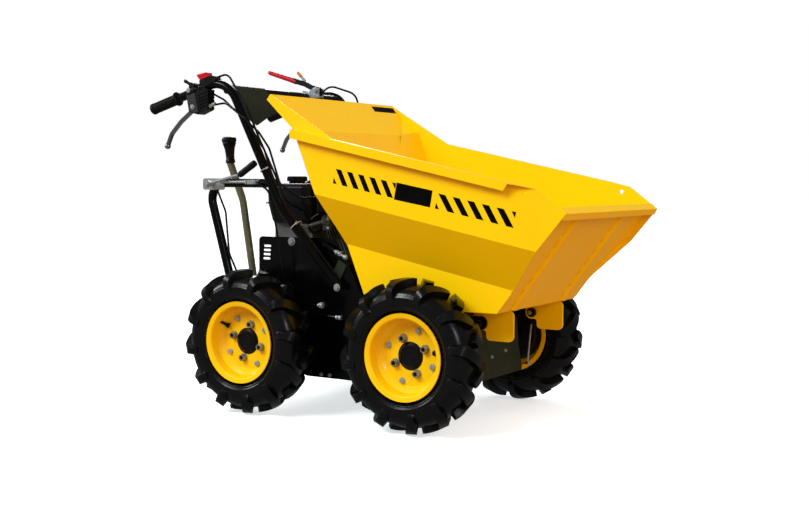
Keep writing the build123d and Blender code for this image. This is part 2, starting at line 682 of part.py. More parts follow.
MAIN_DIR = Vector(-162.0, 0, 366.0).normalized()
FRONT_DIR = Vector(MAIN_DIR.Z, 0, -MAIN_DIR.X)
CROSS_POINT = (CROSS[0], 0, CROSS[1])
COVER_T = 2.0
COVER_IN = TUBE_R + 0.1
COVER_MID = COVER_IN + COVER_T / 2
COVER_OUTLINE = (  # Y, distance up the side tubes from the cross tube
    (-262.0, -85.0), (-212.0, -116.0), (-120.0, -76.0), (0.0, -50.0), (120.0, -76.0), (212.0, -116.0),
    (262.0, -85.0), (262.0, -14.0), (-97.0, -14.0), (-112.0, 0.0), (-262.0, 0.0),
)
COVER_ROLL = ((0.0, COVER_MID), (COVER_MID, COVER_MID), (COVER_MID, -10.0))
with BuildPart() as handlebar_cover:
    with BuildSketch(Plane(origin=CROSS_POINT, x_dir=(0, 1, 0), z_dir=FRONT_DIR).offset(COVER_IN)):
        with BuildLine():
            FilletPolyline(*COVER_OUTLINE, radius=8, close=True)
        make_face()
    extrude(amount=COVER_T)
    with BuildSketch(Plane(origin=CROSS_POINT, x_dir=MAIN_DIR, z_dir=(0, 1, 0)).offset(-255)):
        with BuildLine():
            FilletPolyline(*COVER_ROLL, radius=COVER_MID)
        trace(line_width=COVER_T)
    extrude(amount=143)
    add(HANDLE_BOTH, mode=Mode.SUBTRACT)
save(handlebar_cover, "handlebar_cover")

GRIP_DIR = (Vector(*HANDLE_POINTS[3]) - Vector(*HANDLE_POINTS[2])).normalized()
GRIP_END = Vector(*HANDLE_POINTS[3])
GRIP_L = 100.0
GRIP_R = 16.5
with BuildPart() as grips:
    with BuildSketch(Plane(origin=GRIP_END + GRIP_DIR * 4, z_dir=-GRIP_DIR)):
        Circle(GRIP_R)
    extrude(amount=GRIP_L)
    fillet(grips.edges().sort_by(Axis.X)[0], 3)
    with BuildSketch(Plane(origin=GRIP_END - GRIP_DIR * (GRIP_L - 4), z_dir=-GRIP_DIR)):
        Circle(21)
    extrude(amount=7)
    add(HANDLE_LEFT, mode=Mode.SUBTRACT)
    mirror(about=Plane.XZ)
save(grips, "grips")

CONTROL_X = Vector(-GRIP_DIR.X, 0, -GRIP_DIR.Z).normalized()
CONTROL_POINT = GRIP_END - GRIP_DIR * 168
LEFT_CONTROLS = Plane(origin=CONTROL_POINT, x_dir=CONTROL_X, z_dir=(0, -1, 0))
RIGHT_CONTROLS = LEFT_CONTROLS.offset(2 * CONTROL_POINT.Y)
HOUSING_OUTLINE = (  # forward along the grip and up from its axis: these three tables share one plane
    (-22.0, 4.0), (-30.0, -54.0), (-1.0, -70.0), (38.0, -67.0), (55.0, -14.0), (38.0, 4.0),
)
LEVER_ROUTE = ((-18.0, -46.0), (-79.0, -67.0), (-123.0, -90.0), (-149.0, -119.0))
SWITCH_OUTLINE = ((29.0, -4.0), (31.0, 22.0), (66.0, 22.0), (84.0, 18.0), (91.0, 2.0))
with BuildPart() as lever_housings:
    with BuildSketch(LEFT_CONTROLS):
        with BuildLine():
            FilletPolyline(*HOUSING_OUTLINE, radius=5, close=True)
        make_face()
    extrude(amount=15, both=True)
    for side in (-1, 1):
        with BuildSketch(LEFT_CONTROLS.offset(side * 13)):
            with Locations(*[(38, -56 + row * 9) for row in range(5)]):
                Rectangle(48, 3.5)
        extrude(amount=side * 3, mode=Mode.SUBTRACT)
    with BuildSketch(Plane(origin=CONTROL_POINT + GRIP_DIR * 20, z_dir=-GRIP_DIR)):
        Circle(18)
    extrude(amount=26)
    add(HANDLE_LEFT, mode=Mode.SUBTRACT)
    mirror(about=Plane.XZ)
save(lever_housings, "lever_housings")

with BuildPart() as clutch_levers:
    with BuildSketch(LEFT_CONTROLS):
        with BuildLine():
            FilletPolyline(*LEVER_ROUTE, radius=40)
        trace(line_width=11)
    extrude(amount=4, both=True)
    with BuildSketch(LEFT_CONTROLS):
        with BuildLine():
            FilletPolyline(*LEVER_ROUTE, radius=40)
        trace(line_width=5)
    extrude(amount=6, both=True)
    with Locations(LEFT_CONTROLS.from_local_coords(Vector(*LEVER_ROUTE[3]))):
        Sphere(9)
    add(lever_housings.part, mode=Mode.SUBTRACT)
    mirror(about=Plane.XZ)
save(clutch_levers, "clutch_levers")

with BuildPart() as engine_switch:
    with BuildSketch(RIGHT_CONTROLS):
        with BuildLine():
            FilletPolyline(*SWITCH_OUTLINE, radius=4, close=True)
        make_face()
    extrude(amount=14, both=True)
    add(HANDLE_BOTH[1], mode=Mode.SUBTRACT)
    add(lever_housings.part, mode=Mode.SUBTRACT)
save(engine_switch, "engine_switch")

with BuildPart() as stop_button:
    with BuildSketch(RIGHT_CONTROLS):
        with BuildLine():
            FilletPolyline((22, 41), (62, 36), (63, 22), (32, 22), radius=3, close=True)
        make_face()
    extrude(amount=11, both=True)
    add(engine_switch.part, mode=Mode.SUBTRACT)
save(stop_button, "stop_button")

with BuildPart() as throttle_lever:
    with BuildSketch(RIGHT_CONTROLS):
        with Locations((0, 15)):
            Circle(10)
    extrude(amount=15, both=True)
    with BuildSketch(RIGHT_CONTROLS):
        with BuildLine():
            Polyline((0, 15), (-28, 39))
        trace(line_width=9)
        with Locations((-28, 39)):
            Circle(5.5)
    extrude(amount=3, both=True)
    add(HANDLE_BOTH[1], mode=Mode.SUBTRACT)
    add(lever_housings.part, mode=Mode.SUBTRACT)
save(throttle_lever, "throttle_lever")

DRIVE_Y = 120.0
DRIVE_PIVOT = (-352.0, 926.0)
DRIVE_KNEE = (-448.0, 961.0)
DRIVE_END = (-545.0, 990.0)
with BuildPart() as drive_lever_mount:
    add(cylinder_y(CROSS, 18, DRIVE_Y - 16, DRIVE_Y + 16))
    for side in (-1, 1):
        add(plate_xz(((-400, 906), (-372, 903), (-341, 903), (-341, 932), (-360, 936)),
                     *sorted((DRIVE_Y + side * 8, DRIVE_Y + side * 13))))
    add(cylinder_y(DRIVE_PIVOT, 5, DRIVE_Y - 17, DRIVE_Y + 17))
    add(cylinder_y((-346.0, 908.0), 4, DRIVE_Y - 13, DRIVE_Y + 13))
    add(handlebar_cross_tube.part, mode=Mode.SUBTRACT)
    add(handlebar_cover.part, mode=Mode.SUBTRACT)
save(drive_lever_mount, "drive_lever_mount")

with BuildPart() as drive_lever:
    with BuildSketch(Plane.XZ.offset(-DRIVE_Y)):
        with BuildLine():
            FilletPolyline(DRIVE_PIVOT, (-400.0, 948.0), DRIVE_KNEE, radius=40)
        trace(line_width=16)
        with Locations(DRIVE_PIVOT):
            Circle(11)
    extrude(amount=6, both=True)
    add(drive_lever_mount.part, mode=Mode.SUBTRACT)
save(drive_lever, "drive_lever")

with BuildPart() as drive_lever_grip:
    add(tube_along(((DRIVE_KNEE[0] + 14, DRIVE_Y, DRIVE_KNEE[1] - 5), (DRIVE_KNEE[0], DRIVE_Y, DRIVE_KNEE[1]),
                    (DRIVE_END[0], DRIVE_Y, DRIVE_END[1])), (20.0,), 9.0))
    fillet(drive_lever_grip.edges().sort_by(Axis.X)[0], 4)
    add(drive_lever.part, mode=Mode.SUBTRACT)
save(drive_lever_grip, "drive_lever_grip")

GEAR_Y = -50.0
GEAR_POINTS = ((-456.0, GEAR_Y, RAIL_LOW + 6), (-512.0, GEAR_Y, 589.0), (-562.0, GEAR_Y, 705.0))
with BuildPart() as gear_lever:
    add(tube_along(GEAR_POINTS, (120.0,), 11.0))
    add(chassis_frame.part, mode=Mode.SUBTRACT)
save(gear_lever, "gear_lever")

KNOB_DIR = (Vector(*GEAR_POINTS[2]) - Vector(*GEAR_POINTS[1])).normalized()
with BuildPart() as gear_knob:
    with BuildSketch(Plane(origin=GEAR_POINTS[2], z_dir=KNOB_DIR)):
        Circle(15)
    with BuildSketch(Plane(origin=Vector(*GEAR_POINTS[2]) + KNOB_DIR * 80, z_dir=KNOB_DIR)):
        Circle(23)
    loft()
save(gear_knob, "gear_knob")

LOCK_Y = -BRACE_Y - TUBE_R - 3
LOCK_ROD_Y = LOCK_Y - 10
LOCK_LEVER_Y = LOCK_Y - 19
with BuildPart() as lever_bracket:
    add(rounded_plate(((-508, 622), (-508, 655), (-428, 655), (-428, 622)), 7, LOCK_Y, LOCK_Y + 3))
    add(box_between((-432, LOCK_Y - 13, 640), (-428, LOCK_Y + 3, 651)))
    add(tube_along(((-430, LOCK_ROD_Y, 645), (-300, LOCK_ROD_Y, 645)), (), 4.0))
    add(brace_tubes.part, mode=Mode.SUBTRACT)
save(lever_bracket, "lever_bracket")

with BuildPart() as tip_lock_lever:
    add(cylinder_y((-470, 640), 8, LOCK_LEVER_Y - 5, LOCK_Y))
    add(tube_along(((-470, LOCK_LEVER_Y, 640), (-352, LOCK_LEVER_Y, 667), (-304, LOCK_LEVER_Y, 696)),
                   (40.0,), 4.0))
    add(tube_along(((-350, LOCK_LEVER_Y, 668.2), (-302, LOCK_LEVER_Y, 697.2)), (), 8.5))
save(tip_lock_lever, "tip_lock_lever")

# ---- Control cables: each runs in straight lengths joined by arcs, held along the handlebar ----
CABLES = (  # name, on both sides or not, arc radius, X Y Z of the corners of its route
    ("clutch_cables", True, 32.0, (
        (-442.0, 280.0, 862.0), (-385.0, 280.0, 868.0), (-312.0, 281.0, 820.0), (-262.0, 262.0, 735.0),
        (-243.0, 255.0, 672.0), (-214.0, 243.0, 592.0), (-46.0, 222.0, 392.0))),
    ("switch_cable", False, 30.0, (
        (-416.0, -277.0, 941.0), (-376.0, -281.0, 950.0), (-302.0, -286.0, 850.0), (-272.0, -274.0, 770.0),
        (-232.0, -262.0, 680.0), (-205.0, -236.0, 592.0), (-206.0, -150.0, 560.0), (-219.0, -102.5, 508.0))),
    ("throttle_cable", False, 26.0, (
        (-500.0, -257.0, 919.0), (-418.0, -249.0, 880.0), (-352.0, -241.0, 826.0), (-300.0, -239.0, 786.0),
        (-262.0, -240.0, 740.0), (-232.0, -230.0, 640.0), (-190.0, -190.0, 600.0), (-134.0, -160.0, 604.0))),
    ("drive_lever_cable", False, 34.0, (
        (-341.5, 120.0, 911.0), (-316.0, 124.0, 942.0), (-244.0, 165.0, 915.0), (-252.0, 226.0, 820.0),
        (-226.0, 228.0, 640.0), (-180.0, 175.0, 520.0), (-172.0, 165.0, 302.0))),
    ("skip_lock_cable", False, 40.0, (
        (-451.0, -241.0, 622.0), (-420.0, -241.0, 560.0), (-408.0, -241.0, 440.0), (-378.0, -190.0, 302.5))),
    ("tip_cable", False, 40.0, (
        (-297.0, -247.5, 644.0), (-258.0, -244.0, 618.0), (-240.0, -238.0, 520.0), (-222.0, -230.0, 400.0),
        (-231.0, -204.5, 355.0))),
)
for cable_name, both_sides, bend, corners in CABLES:
    with BuildPart() as cable:
        add(tube_along(corners, (bend,) * (len(corners) - 2), CABLE_R))
        if both_sides:
            mirror(about=Plane.XZ)
    save(cable, cable_name)
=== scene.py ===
"""Looks of a walk-behind four-wheel skip dumper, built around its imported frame.

The frame is in metres. Sizes in this file are in millimetres unless a name says otherwise, and
they are turned to metres once, when a mesh is made. X points forward, Y left and Z up.
"""

import json
import logging
import math
from collections.abc import Callable, Sequence
from dataclasses import dataclass
from enum import Enum

import bpy
from mathutils import Matrix, Vector


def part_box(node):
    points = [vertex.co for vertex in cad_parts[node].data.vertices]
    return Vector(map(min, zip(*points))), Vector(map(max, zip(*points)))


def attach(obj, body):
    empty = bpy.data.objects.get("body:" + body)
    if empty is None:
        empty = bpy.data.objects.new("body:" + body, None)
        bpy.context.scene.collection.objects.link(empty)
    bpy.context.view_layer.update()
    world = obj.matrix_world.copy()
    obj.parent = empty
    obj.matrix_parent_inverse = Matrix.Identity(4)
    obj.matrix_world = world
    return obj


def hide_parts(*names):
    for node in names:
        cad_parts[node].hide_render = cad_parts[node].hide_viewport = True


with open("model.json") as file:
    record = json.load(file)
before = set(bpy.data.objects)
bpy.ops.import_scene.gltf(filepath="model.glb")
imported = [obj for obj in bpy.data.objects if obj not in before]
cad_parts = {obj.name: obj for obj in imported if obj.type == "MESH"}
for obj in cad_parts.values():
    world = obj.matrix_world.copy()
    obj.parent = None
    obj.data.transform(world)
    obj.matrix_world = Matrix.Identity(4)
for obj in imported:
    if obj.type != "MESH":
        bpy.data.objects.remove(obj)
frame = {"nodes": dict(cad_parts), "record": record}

LOG = logging.getLogger("dumper")
MM = 0.001

Point = Sequence[float]
Pair = tuple[float, float]

# The machine's right side and its left, or the two faces of a part.
BOTH = (-1, 1)
FORWARD = (1.0, 0.0, 0.0)
LEFT, RIGHT = (0.0, 1.0, 0.0), (0.0, -1.0, 0.0)
UP, DOWN = (0.0, 0.0, 1.0), (0.0, 0.0, -1.0)


# ---------------------------------------------------------------------------------------------
# Finishes
# ---------------------------------------------------------------------------------------------

# Noise values between which a patch of the worn colour fades in, and the roughness wanders.
PATCH_FADE = (0.42, 0.72)
ROUGHNESS_WANDER = (0.3, 0.7)
SMOOTHEST = 0.02
COAT_ROUGHNESS = 0.08
METAL_SPECULAR = 0.5


def linear(colour: str) -> tuple[float, float, float, float]:
    """Turns an sRGB hex colour into the linear RGBA that shaders use.

    Args:
        colour: six hex digits after a hash, such as "#f2b705".

    Returns:
        The colour's linear red, green and blue, and an alpha of 1.
    """
    parts = [int(colour[i : i + 2], 16) / 255 for i in (1, 3, 5)]
    return (*[p / 12.92 if p <= 0.04045 else ((p + 0.055) / 1.055) ** 2.4 for p in parts], 1.0)


def add_node(tree: bpy.types.NodeTree, kind: str, settings: dict | None = None,
             links: dict | None = None) -> bpy.types.Node:
    """Adds one shader node with its settings and the links that come into it.

    Args:
        tree: the material's node tree.
        kind: the node's type name, without the "ShaderNode" in front.
        settings: values by socket name or number, or by attribute name where there is no such socket.
        links: output sockets by the name or number of the input that each one feeds.

    Returns:
        The new node.
    """
    node = tree.nodes.new("ShaderNode" + kind)
    for name, value in (settings or {}).items():
        if isinstance(name, int) or name in node.inputs:
            node.inputs[name].default_value = value
        else:
            setattr(node, name, value)
    for name, socket in (links or {}).items():
        tree.links.new(socket, node.inputs[name])
    return node


class Pattern(Enum):
    """How a surface was made, which sets the relief that the light catches."""

    ORANGE_PEEL = "powder coat that flowed in the oven"
    MOULDED = "spark-eroded mould texture"
    CAST = "sand-cast skin"
    PLATED = "bright plating over rolled steel"
    RUBBER = "cured in a polished mould"
    FLAT = "printed or cut film"


@dataclass(frozen=True)
class Finish:
    """One real material and the marks that its making leaves.

    Attributes:
        name: the material's plain name.
        colour: sRGB hex of the clean surface.
        worn: sRGB hex of the surface where it varies, as dust, dirt or heat would tint it.
        pattern: how the surface was made.
        grain_mm: real size of the relief's grain.
        relief_mm: real depth of the relief.
        roughness: roughness of the clean surface.
        spread: how far the roughness wanders either way.
        metallic: 1 for bare metal, less for a dull or passivated one, 0 for paint, plastic and rubber.
        coat: strength of a clear glossy layer on top.
        gloss: how strongly a paint, plastic or rubber mirrors its surroundings; 0.5 is plain enamel.
        cloud_mm: size of the patches in which colour and roughness vary.
        cloud: how much of the worn colour the patches take, from 0 to 1.
        glow: strength of light from within, for a lit table top.
    """

    name: str
    colour: str
    worn: str
    pattern: Pattern = Pattern.ORANGE_PEEL
    grain_mm: float = 1.2
    relief_mm: float = 0.02
    roughness: float = 0.4
    spread: float = 0.08
    metallic: float = 0.0
    coat: float = 0.0
    gloss: float = 0.3
    cloud_mm: float = 180.0
    cloud: float = 0.25
    glow: float = 0.0

    def build(self) -> bpy.types.Material:
        """Makes the node material, once for each name.

        Returns:
            The material, ready for an object's slot.
        """
        known = bpy.data.materials.get(self.name)
        if known:
            return known
        material = bpy.data.materials.new(self.name)
        material.use_nodes = True
        tree = material.node_tree
        tree.nodes.clear()
        place = add_node(tree, "TexCoord").outputs["Object"]
        noise = {"Scale": 1 / (self.cloud_mm * MM), "Detail": 4.0, "Roughness": 0.6}
        clouds = add_node(tree, "TexNoise", noise, {"Vector": place}).outputs["Fac"]
        fade = {"From Min": PATCH_FADE[0], "From Max": PATCH_FADE[1], "To Min": 0.0, "To Max": self.cloud}
        share = add_node(tree, "MapRange", fade, {"Value": clouds}).outputs["Result"]
        colours = {"data_type": "RGBA", 6: linear(self.colour), 7: linear(self.worn)}
        tint = add_node(tree, "Mix", colours, {0: share}).outputs[2]
        wander = {
            "From Min": ROUGHNESS_WANDER[0],
            "From Max": ROUGHNESS_WANDER[1],
            "To Min": max(SMOOTHEST, self.roughness - self.spread),
            "To Max": min(1.0, self.roughness + self.spread),
        }
        shine = add_node(tree, "MapRange", wander, {"Value": clouds}).outputs["Result"]
        surface = {
            "Metallic": self.metallic,
            "Coat Weight": self.coat,
            "Coat Roughness": COAT_ROUGHNESS,
            "Specular IOR Level": METAL_SPECULAR if self.metallic else self.gloss,
            "Emission Color": linear(self.colour),
            "Emission Strength": self.glow,
        }
        incoming = {"Base Color": tint, "Roughness": shine, "Normal": self.relief(tree, place)}
        shader = add_node(tree, "BsdfPrincipled", surface, incoming)
        add_node(tree, "OutputMaterial", {}, {"Surface": shader.outputs["BSDF"]})
        return material

    def relief(self, tree: bpy.types.NodeTree, place: bpy.types.NodeSocket) -> bpy.types.NodeSocket:
        """Adds the relief that the way of making leaves.

        Args:
            tree: the material's node tree.
            place: the socket that gives a point's place on the object, in metres.

        Returns:
            The socket with the bumped normal.
        """
        grain = {"Scale": 1 / (self.grain_mm * MM)}
        if self.pattern in (Pattern.MOULDED, Pattern.CAST):
            height = add_node(tree, "TexVoronoi", {**grain, "feature": "SMOOTH_F1"},
                              {"Vector": place}).outputs["Distance"]
        elif self.pattern is Pattern.PLATED:
            # Rolling marks run along the bar: the grain is drawn out five times in one direction.
            drawn = add_node(tree, "Mapping", {"Scale": (1.0, 1.0, 5.0)}, {"Vector": place}).outputs[0]
            height = add_node(tree, "TexNoise", {**grain, "Detail": 3.0}, {"Vector": drawn}).outputs["Fac"]
        else:
            height = add_node(tree, "TexNoise", {**grain, "Detail": 2.0}, {"Vector": place}).outputs["Fac"]
        depth = {"Strength": 1.0, "Distance": self.relief_mm * MM}
        return add_node(tree, "Bump", depth, {"Height": height}).outputs["Normal"]


@dataclass(frozen=True)
class Paintbox:
    """Every finish on the machine, by what it is."""

    # Polyester powder coat in signal yellow: slightly wavy, so reflections break up softly.
    skip_yellow: Finish = Finish(
        "powder_coat_signal_yellow", "#f1cb01", "#ebba01", grain_mm=2.4, relief_mm=0.02, roughness=0.4,
        spread=0.05, gloss=0.2, cloud_mm=320.0, cloud=0.35)
    # The same coat over a weld bead, where it pools in the ripples and looks deeper.
    weld_yellow: Finish = Finish(
        "powder_coat_over_weld", "#efc104", "#e3a902", grain_mm=1.4, relief_mm=0.05, roughness=0.34,
        spread=0.06, coat=0.2, cloud_mm=12.0, cloud=0.6)
    # Baked enamel on the wheel discs: a touch more orange, and glossier than the powder coat.
    rim_yellow: Finish = Finish(
        "baked_enamel_yellow", "#f0c703", "#e9b002", grain_mm=1.6, relief_mm=0.015, roughness=0.26,
        spread=0.06, gloss=0.35, coat=0.12, cloud_mm=70.0, cloud=0.35)
    # Black powder coat on tubes and sheet: deep, with crisp highlights that a fine wave softens.
    frame_black: Finish = Finish(
        "powder_coat_black", "#020203", "#040505", grain_mm=1.4, relief_mm=0.025, roughness=0.22,
        spread=0.06, gloss=0.3, cloud_mm=120.0)
    # Primed steel in grey-green, left unglossed.
    panel_grey: Finish = Finish(
        "primed_steel_grey_green", "#252d22", "#30372c", grain_mm=1.5, relief_mm=0.02, roughness=0.42,
        spread=0.08, gloss=0.12, cloud_mm=90.0, cloud=0.5)
    # Black paint over rough casting, on the gearbox, axle and hubs: pitted and half dull.
    cast_black: Finish = Finish(
        "painted_iron_casting", "#070708", "#101112", Pattern.CAST, 2.5, 0.18, 0.42, 0.1, cloud_mm=60.0,
        cloud=0.5)
    # Bare die-cast aluminium, dull from its release agent and darkened between the fins.
    cast_alloy: Finish = Finish(
        "die_cast_aluminium", "#7d807e", "#565957", Pattern.CAST, 1.6, 0.06, 0.45, 0.1, metallic=0.55,
        cloud_mm=40.0, cloud=0.7)
    # Blue-white zinc plating: bright, with milky patches.
    zinc: Finish = Finish(
        "zinc_plated_steel", "#c2ced4", "#9ba8ad", Pattern.PLATED, 0.9, 0.02, 0.3, 0.1, metallic=0.7,
        cloud_mm=12.0, cloud=0.6)
    # Yellow-passivated zinc on the gear lever: an olive sheen.
    olive_zinc: Finish = Finish(
        "yellow_passivated_zinc", "#85866a", "#686c52", Pattern.PLATED, 1.1, 0.02, 0.3, 0.1, metallic=0.6,
        cloud_mm=45.0, cloud=0.7)
    # Bronze-tinted passivated zinc on the wheel nuts: darker and warmer than the blue-white kind.
    nut_zinc: Finish = Finish(
        "bronze_passivated_zinc", "#a39d88", "#6f6a5a", Pattern.PLATED, 1.0, 0.02, 0.3, 0.1, metallic=0.6,
        cloud_mm=9.0, cloud=0.7)
    # Chrome over polished steel: nearly a mirror.
    chrome: Finish = Finish(
        "bright_chrome", "#b9bcbe", "#a2a6a9", Pattern.PLATED, 2.0, 0.004, 0.1, 0.04, metallic=1.0,
        cloud_mm=30.0)
    # Tyre rubber, new from the mould: near-black with a soft sheen from the mould's polish.
    tyre: Finish = Finish(
        "moulded_tyre_rubber", "#040505", "#090a0b", Pattern.RUBBER, 1.8, 0.04, 0.27, 0.06, gloss=0.42,
        cloud_mm=45.0, cloud=0.5)
    # Soft grip rubber, matt from its fine mould texture.
    grip: Finish = Finish(
        "grip_rubber", "#070808", "#101112", Pattern.MOULDED, 0.9, 0.05, 0.45, 0.06, cloud_mm=20.0)
    # Black ABS with a fine eroded texture, which spreads its highlights.
    plastic: Finish = Finish(
        "black_abs", "#08090a", "#111315", Pattern.MOULDED, 0.8, 0.02, 0.34, 0.06, cloud_mm=60.0)
    # Blue-black polyethylene on the tank and its cap: a little paler and smoother.
    tank: Finish = Finish(
        "blue_black_polyethylene", "#111519", "#1a2026", Pattern.MOULDED, 1.2, 0.02, 0.3, 0.05,
        cloud_mm=90.0)
    # Grey ABS half of the lever housing: plainly paler than the black beside it.
    grey_plastic: Finish = Finish(
        "dark_grey_abs", "#2a2e31", "#363b3f", Pattern.MOULDED, 0.8, 0.02, 0.4, 0.06, cloud_mm=40.0)
    # Red ABS: smooth, slightly glossy.
    red: Finish = Finish(
        "red_abs", "#b20c20", "#9c0618", Pattern.MOULDED, 0.9, 0.01, 0.3, 0.05, coat=0.2, cloud_mm=25.0)
    # Orange ABS on the drive lever's catch: smooth, a small bright spot.
    orange: Finish = Finish(
        "orange_abs", "#c4702a", "#a85c1e", Pattern.MOULDED, 0.9, 0.01, 0.32, 0.05, cloud_mm=15.0)
    # Cut black vinyl film: even and flat, with hardly a highlight.
    vinyl: Finish = Finish(
        "black_vinyl_film", "#040404", "#0a0a0a", Pattern.FLAT, 3.0, 0.01, 0.3, 0.05, gloss=0.12,
        cloud_mm=60.0)
    # PVC cable jacket: smooth and dark, with a thin line of light along it.
    jacket: Finish = Finish(
        "pvc_cable_jacket", "#070708", "#101112", Pattern.RUBBER, 1.0, 0.01, 0.28, 0.06, cloud_mm=30.0)
    # Natural nylon cable tie: pale and milky.
    nylon: Finish = Finish(
        "natural_nylon", "#a4a9ac", "#8e9396", Pattern.MOULDED, 0.8, 0.01, 0.35, 0.05, cloud_mm=10.0)
    # Opal acrylic light table, lit a little from below so that shadows stay pale.
    table: Finish = Finish(
        "opal_acrylic_table", "#eff4f6", "#ebf0f2", Pattern.FLAT, 6.0, 0.02, 0.7, 0.05, cloud_mm=900.0,
        glow=0.68)


PAINT = Paintbox()


# ---------------------------------------------------------------------------------------------
# Places and mesh building
# ---------------------------------------------------------------------------------------------


def aim(origin: Point, axis: Point, up: Point = UP) -> Matrix:
    """Gives the placing whose local Z runs along an axis.

    Args:
        origin: where the local origin goes.
        axis: the direction of local Z.
        up: a direction that local Y leans towards.

    Returns:
        The placing, as a 4 by 4 matrix.
    """
    z = Vector(axis).normalized()
    hint = Vector(up)
    if abs(z.dot(hint.normalized())) > 0.99:
        hint = Vector(FORWARD)
    x = hint.cross(z).normalized()
    y = z.cross(x)
    return Matrix.Translation(Vector(origin)) @ Matrix((x, y, z)).transposed().to_4x4()


def shifted(x: float = 0.0, y: float = 0.0, z: float = 0.0) -> Matrix:
    """The placing that moves by this much and turns nothing."""
    return Matrix.Translation((x, y, z))


def turned(angle_deg: float, axis: str = "Z") -> Matrix:
    """The placing that turns about a local axis."""
    return Matrix.Rotation(math.radians(angle_deg), 4, axis)


def middle(node: str) -> Vector:
    """Middle of a node's box, in millimetres."""
    low, high = corners(node)
    return (low + high) / 2


def corners(node: str) -> tuple[Vector, Vector]:
    """Lowest and highest corner of a node's box, in millimetres."""
    low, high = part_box(node)
    return Vector(low) / MM, Vector(high) / MM


def smooth_route(points: Sequence[Point], steps: int = 8) -> list[Vector]:
    """Runs a smooth line through points.

    Args:
        points: the points that it passes through.
        steps: how many short runs go between two of them.

    Returns:
        The close points of the line.
    """
    way = [Vector(p) for p in points]
    way = [2 * way[0] - way[1], *way, 2 * way[-1] - way[-2]]
    line = []
    for a, b, c, d in zip(way, way[1:], way[2:], way[3:]):
        for i in range(steps):
            t = i / steps
            line.append(0.5 * (2 * b + (c - a) * t + (2 * a - 5 * b + 4 * c - d) * t**2
                               + (3 * b - a - 3 * c + d) * t**3))
    line.append(way[-2])
    return line


def grid(xs: Sequence[float], ys: Sequence[float], zs: Sequence[float]) -> list[Point]:
    """Every point that takes one of these X, one Y and one Z."""
    return [(x, y, z) for x in xs for y in ys for z in zs]


def circle(centre: Point, radius: float, count: int, first_deg: float = 0.0) -> list[Point]:
    """Gives points evenly round a circle that faces sideways.

    Args:
        centre: its centre.
        radius: its radius.
        count: how many points there are.
        first_deg: angle of the first one above the forward direction.

    Returns:
        The points.
    """
    x, y, z = centre
    angles = [math.radians(first_deg + 360 / count * i) for i in range(count)]
    return [(x + radius * math.cos(a), y, z + radius * math.sin(a)) for a in angles]


def hex_outline(across: float) -> list[Pair]:
    """Corners of a hexagon of this width across its flats."""
    r = across / math.sqrt(3)
    return [(r * math.cos(math.radians(60 * i)), r * math.sin(math.radians(60 * i))) for i in range(6)]


def rectangle(low: Pair, high: Pair) -> list[Pair]:
    """Corners of a rectangle, anticlockwise from its lowest one."""
    return [low, (high[0], low[1]), high, (low[0], high[1])]


def round_edges(piece: bpy.types.Object, width: float, angle_deg: float = 35.0, segments: int = 2) -> None:
    """Rounds a piece's sharp edges, so that they catch the light.

    Args:
        piece: the object.
        width: width of the rounding, in millimetres.
        angle_deg: edges sharper than this are rounded.
        segments: how many flats make a rounded edge.
    """
    soften = piece.modifiers.new("rounded edges", "BEVEL")
    soften.width = width * MM
    soften.segments = segments
    soften.limit_method = "ANGLE"
    soften.angle_limit = math.radians(angle_deg)
    soften.harden_normals = True


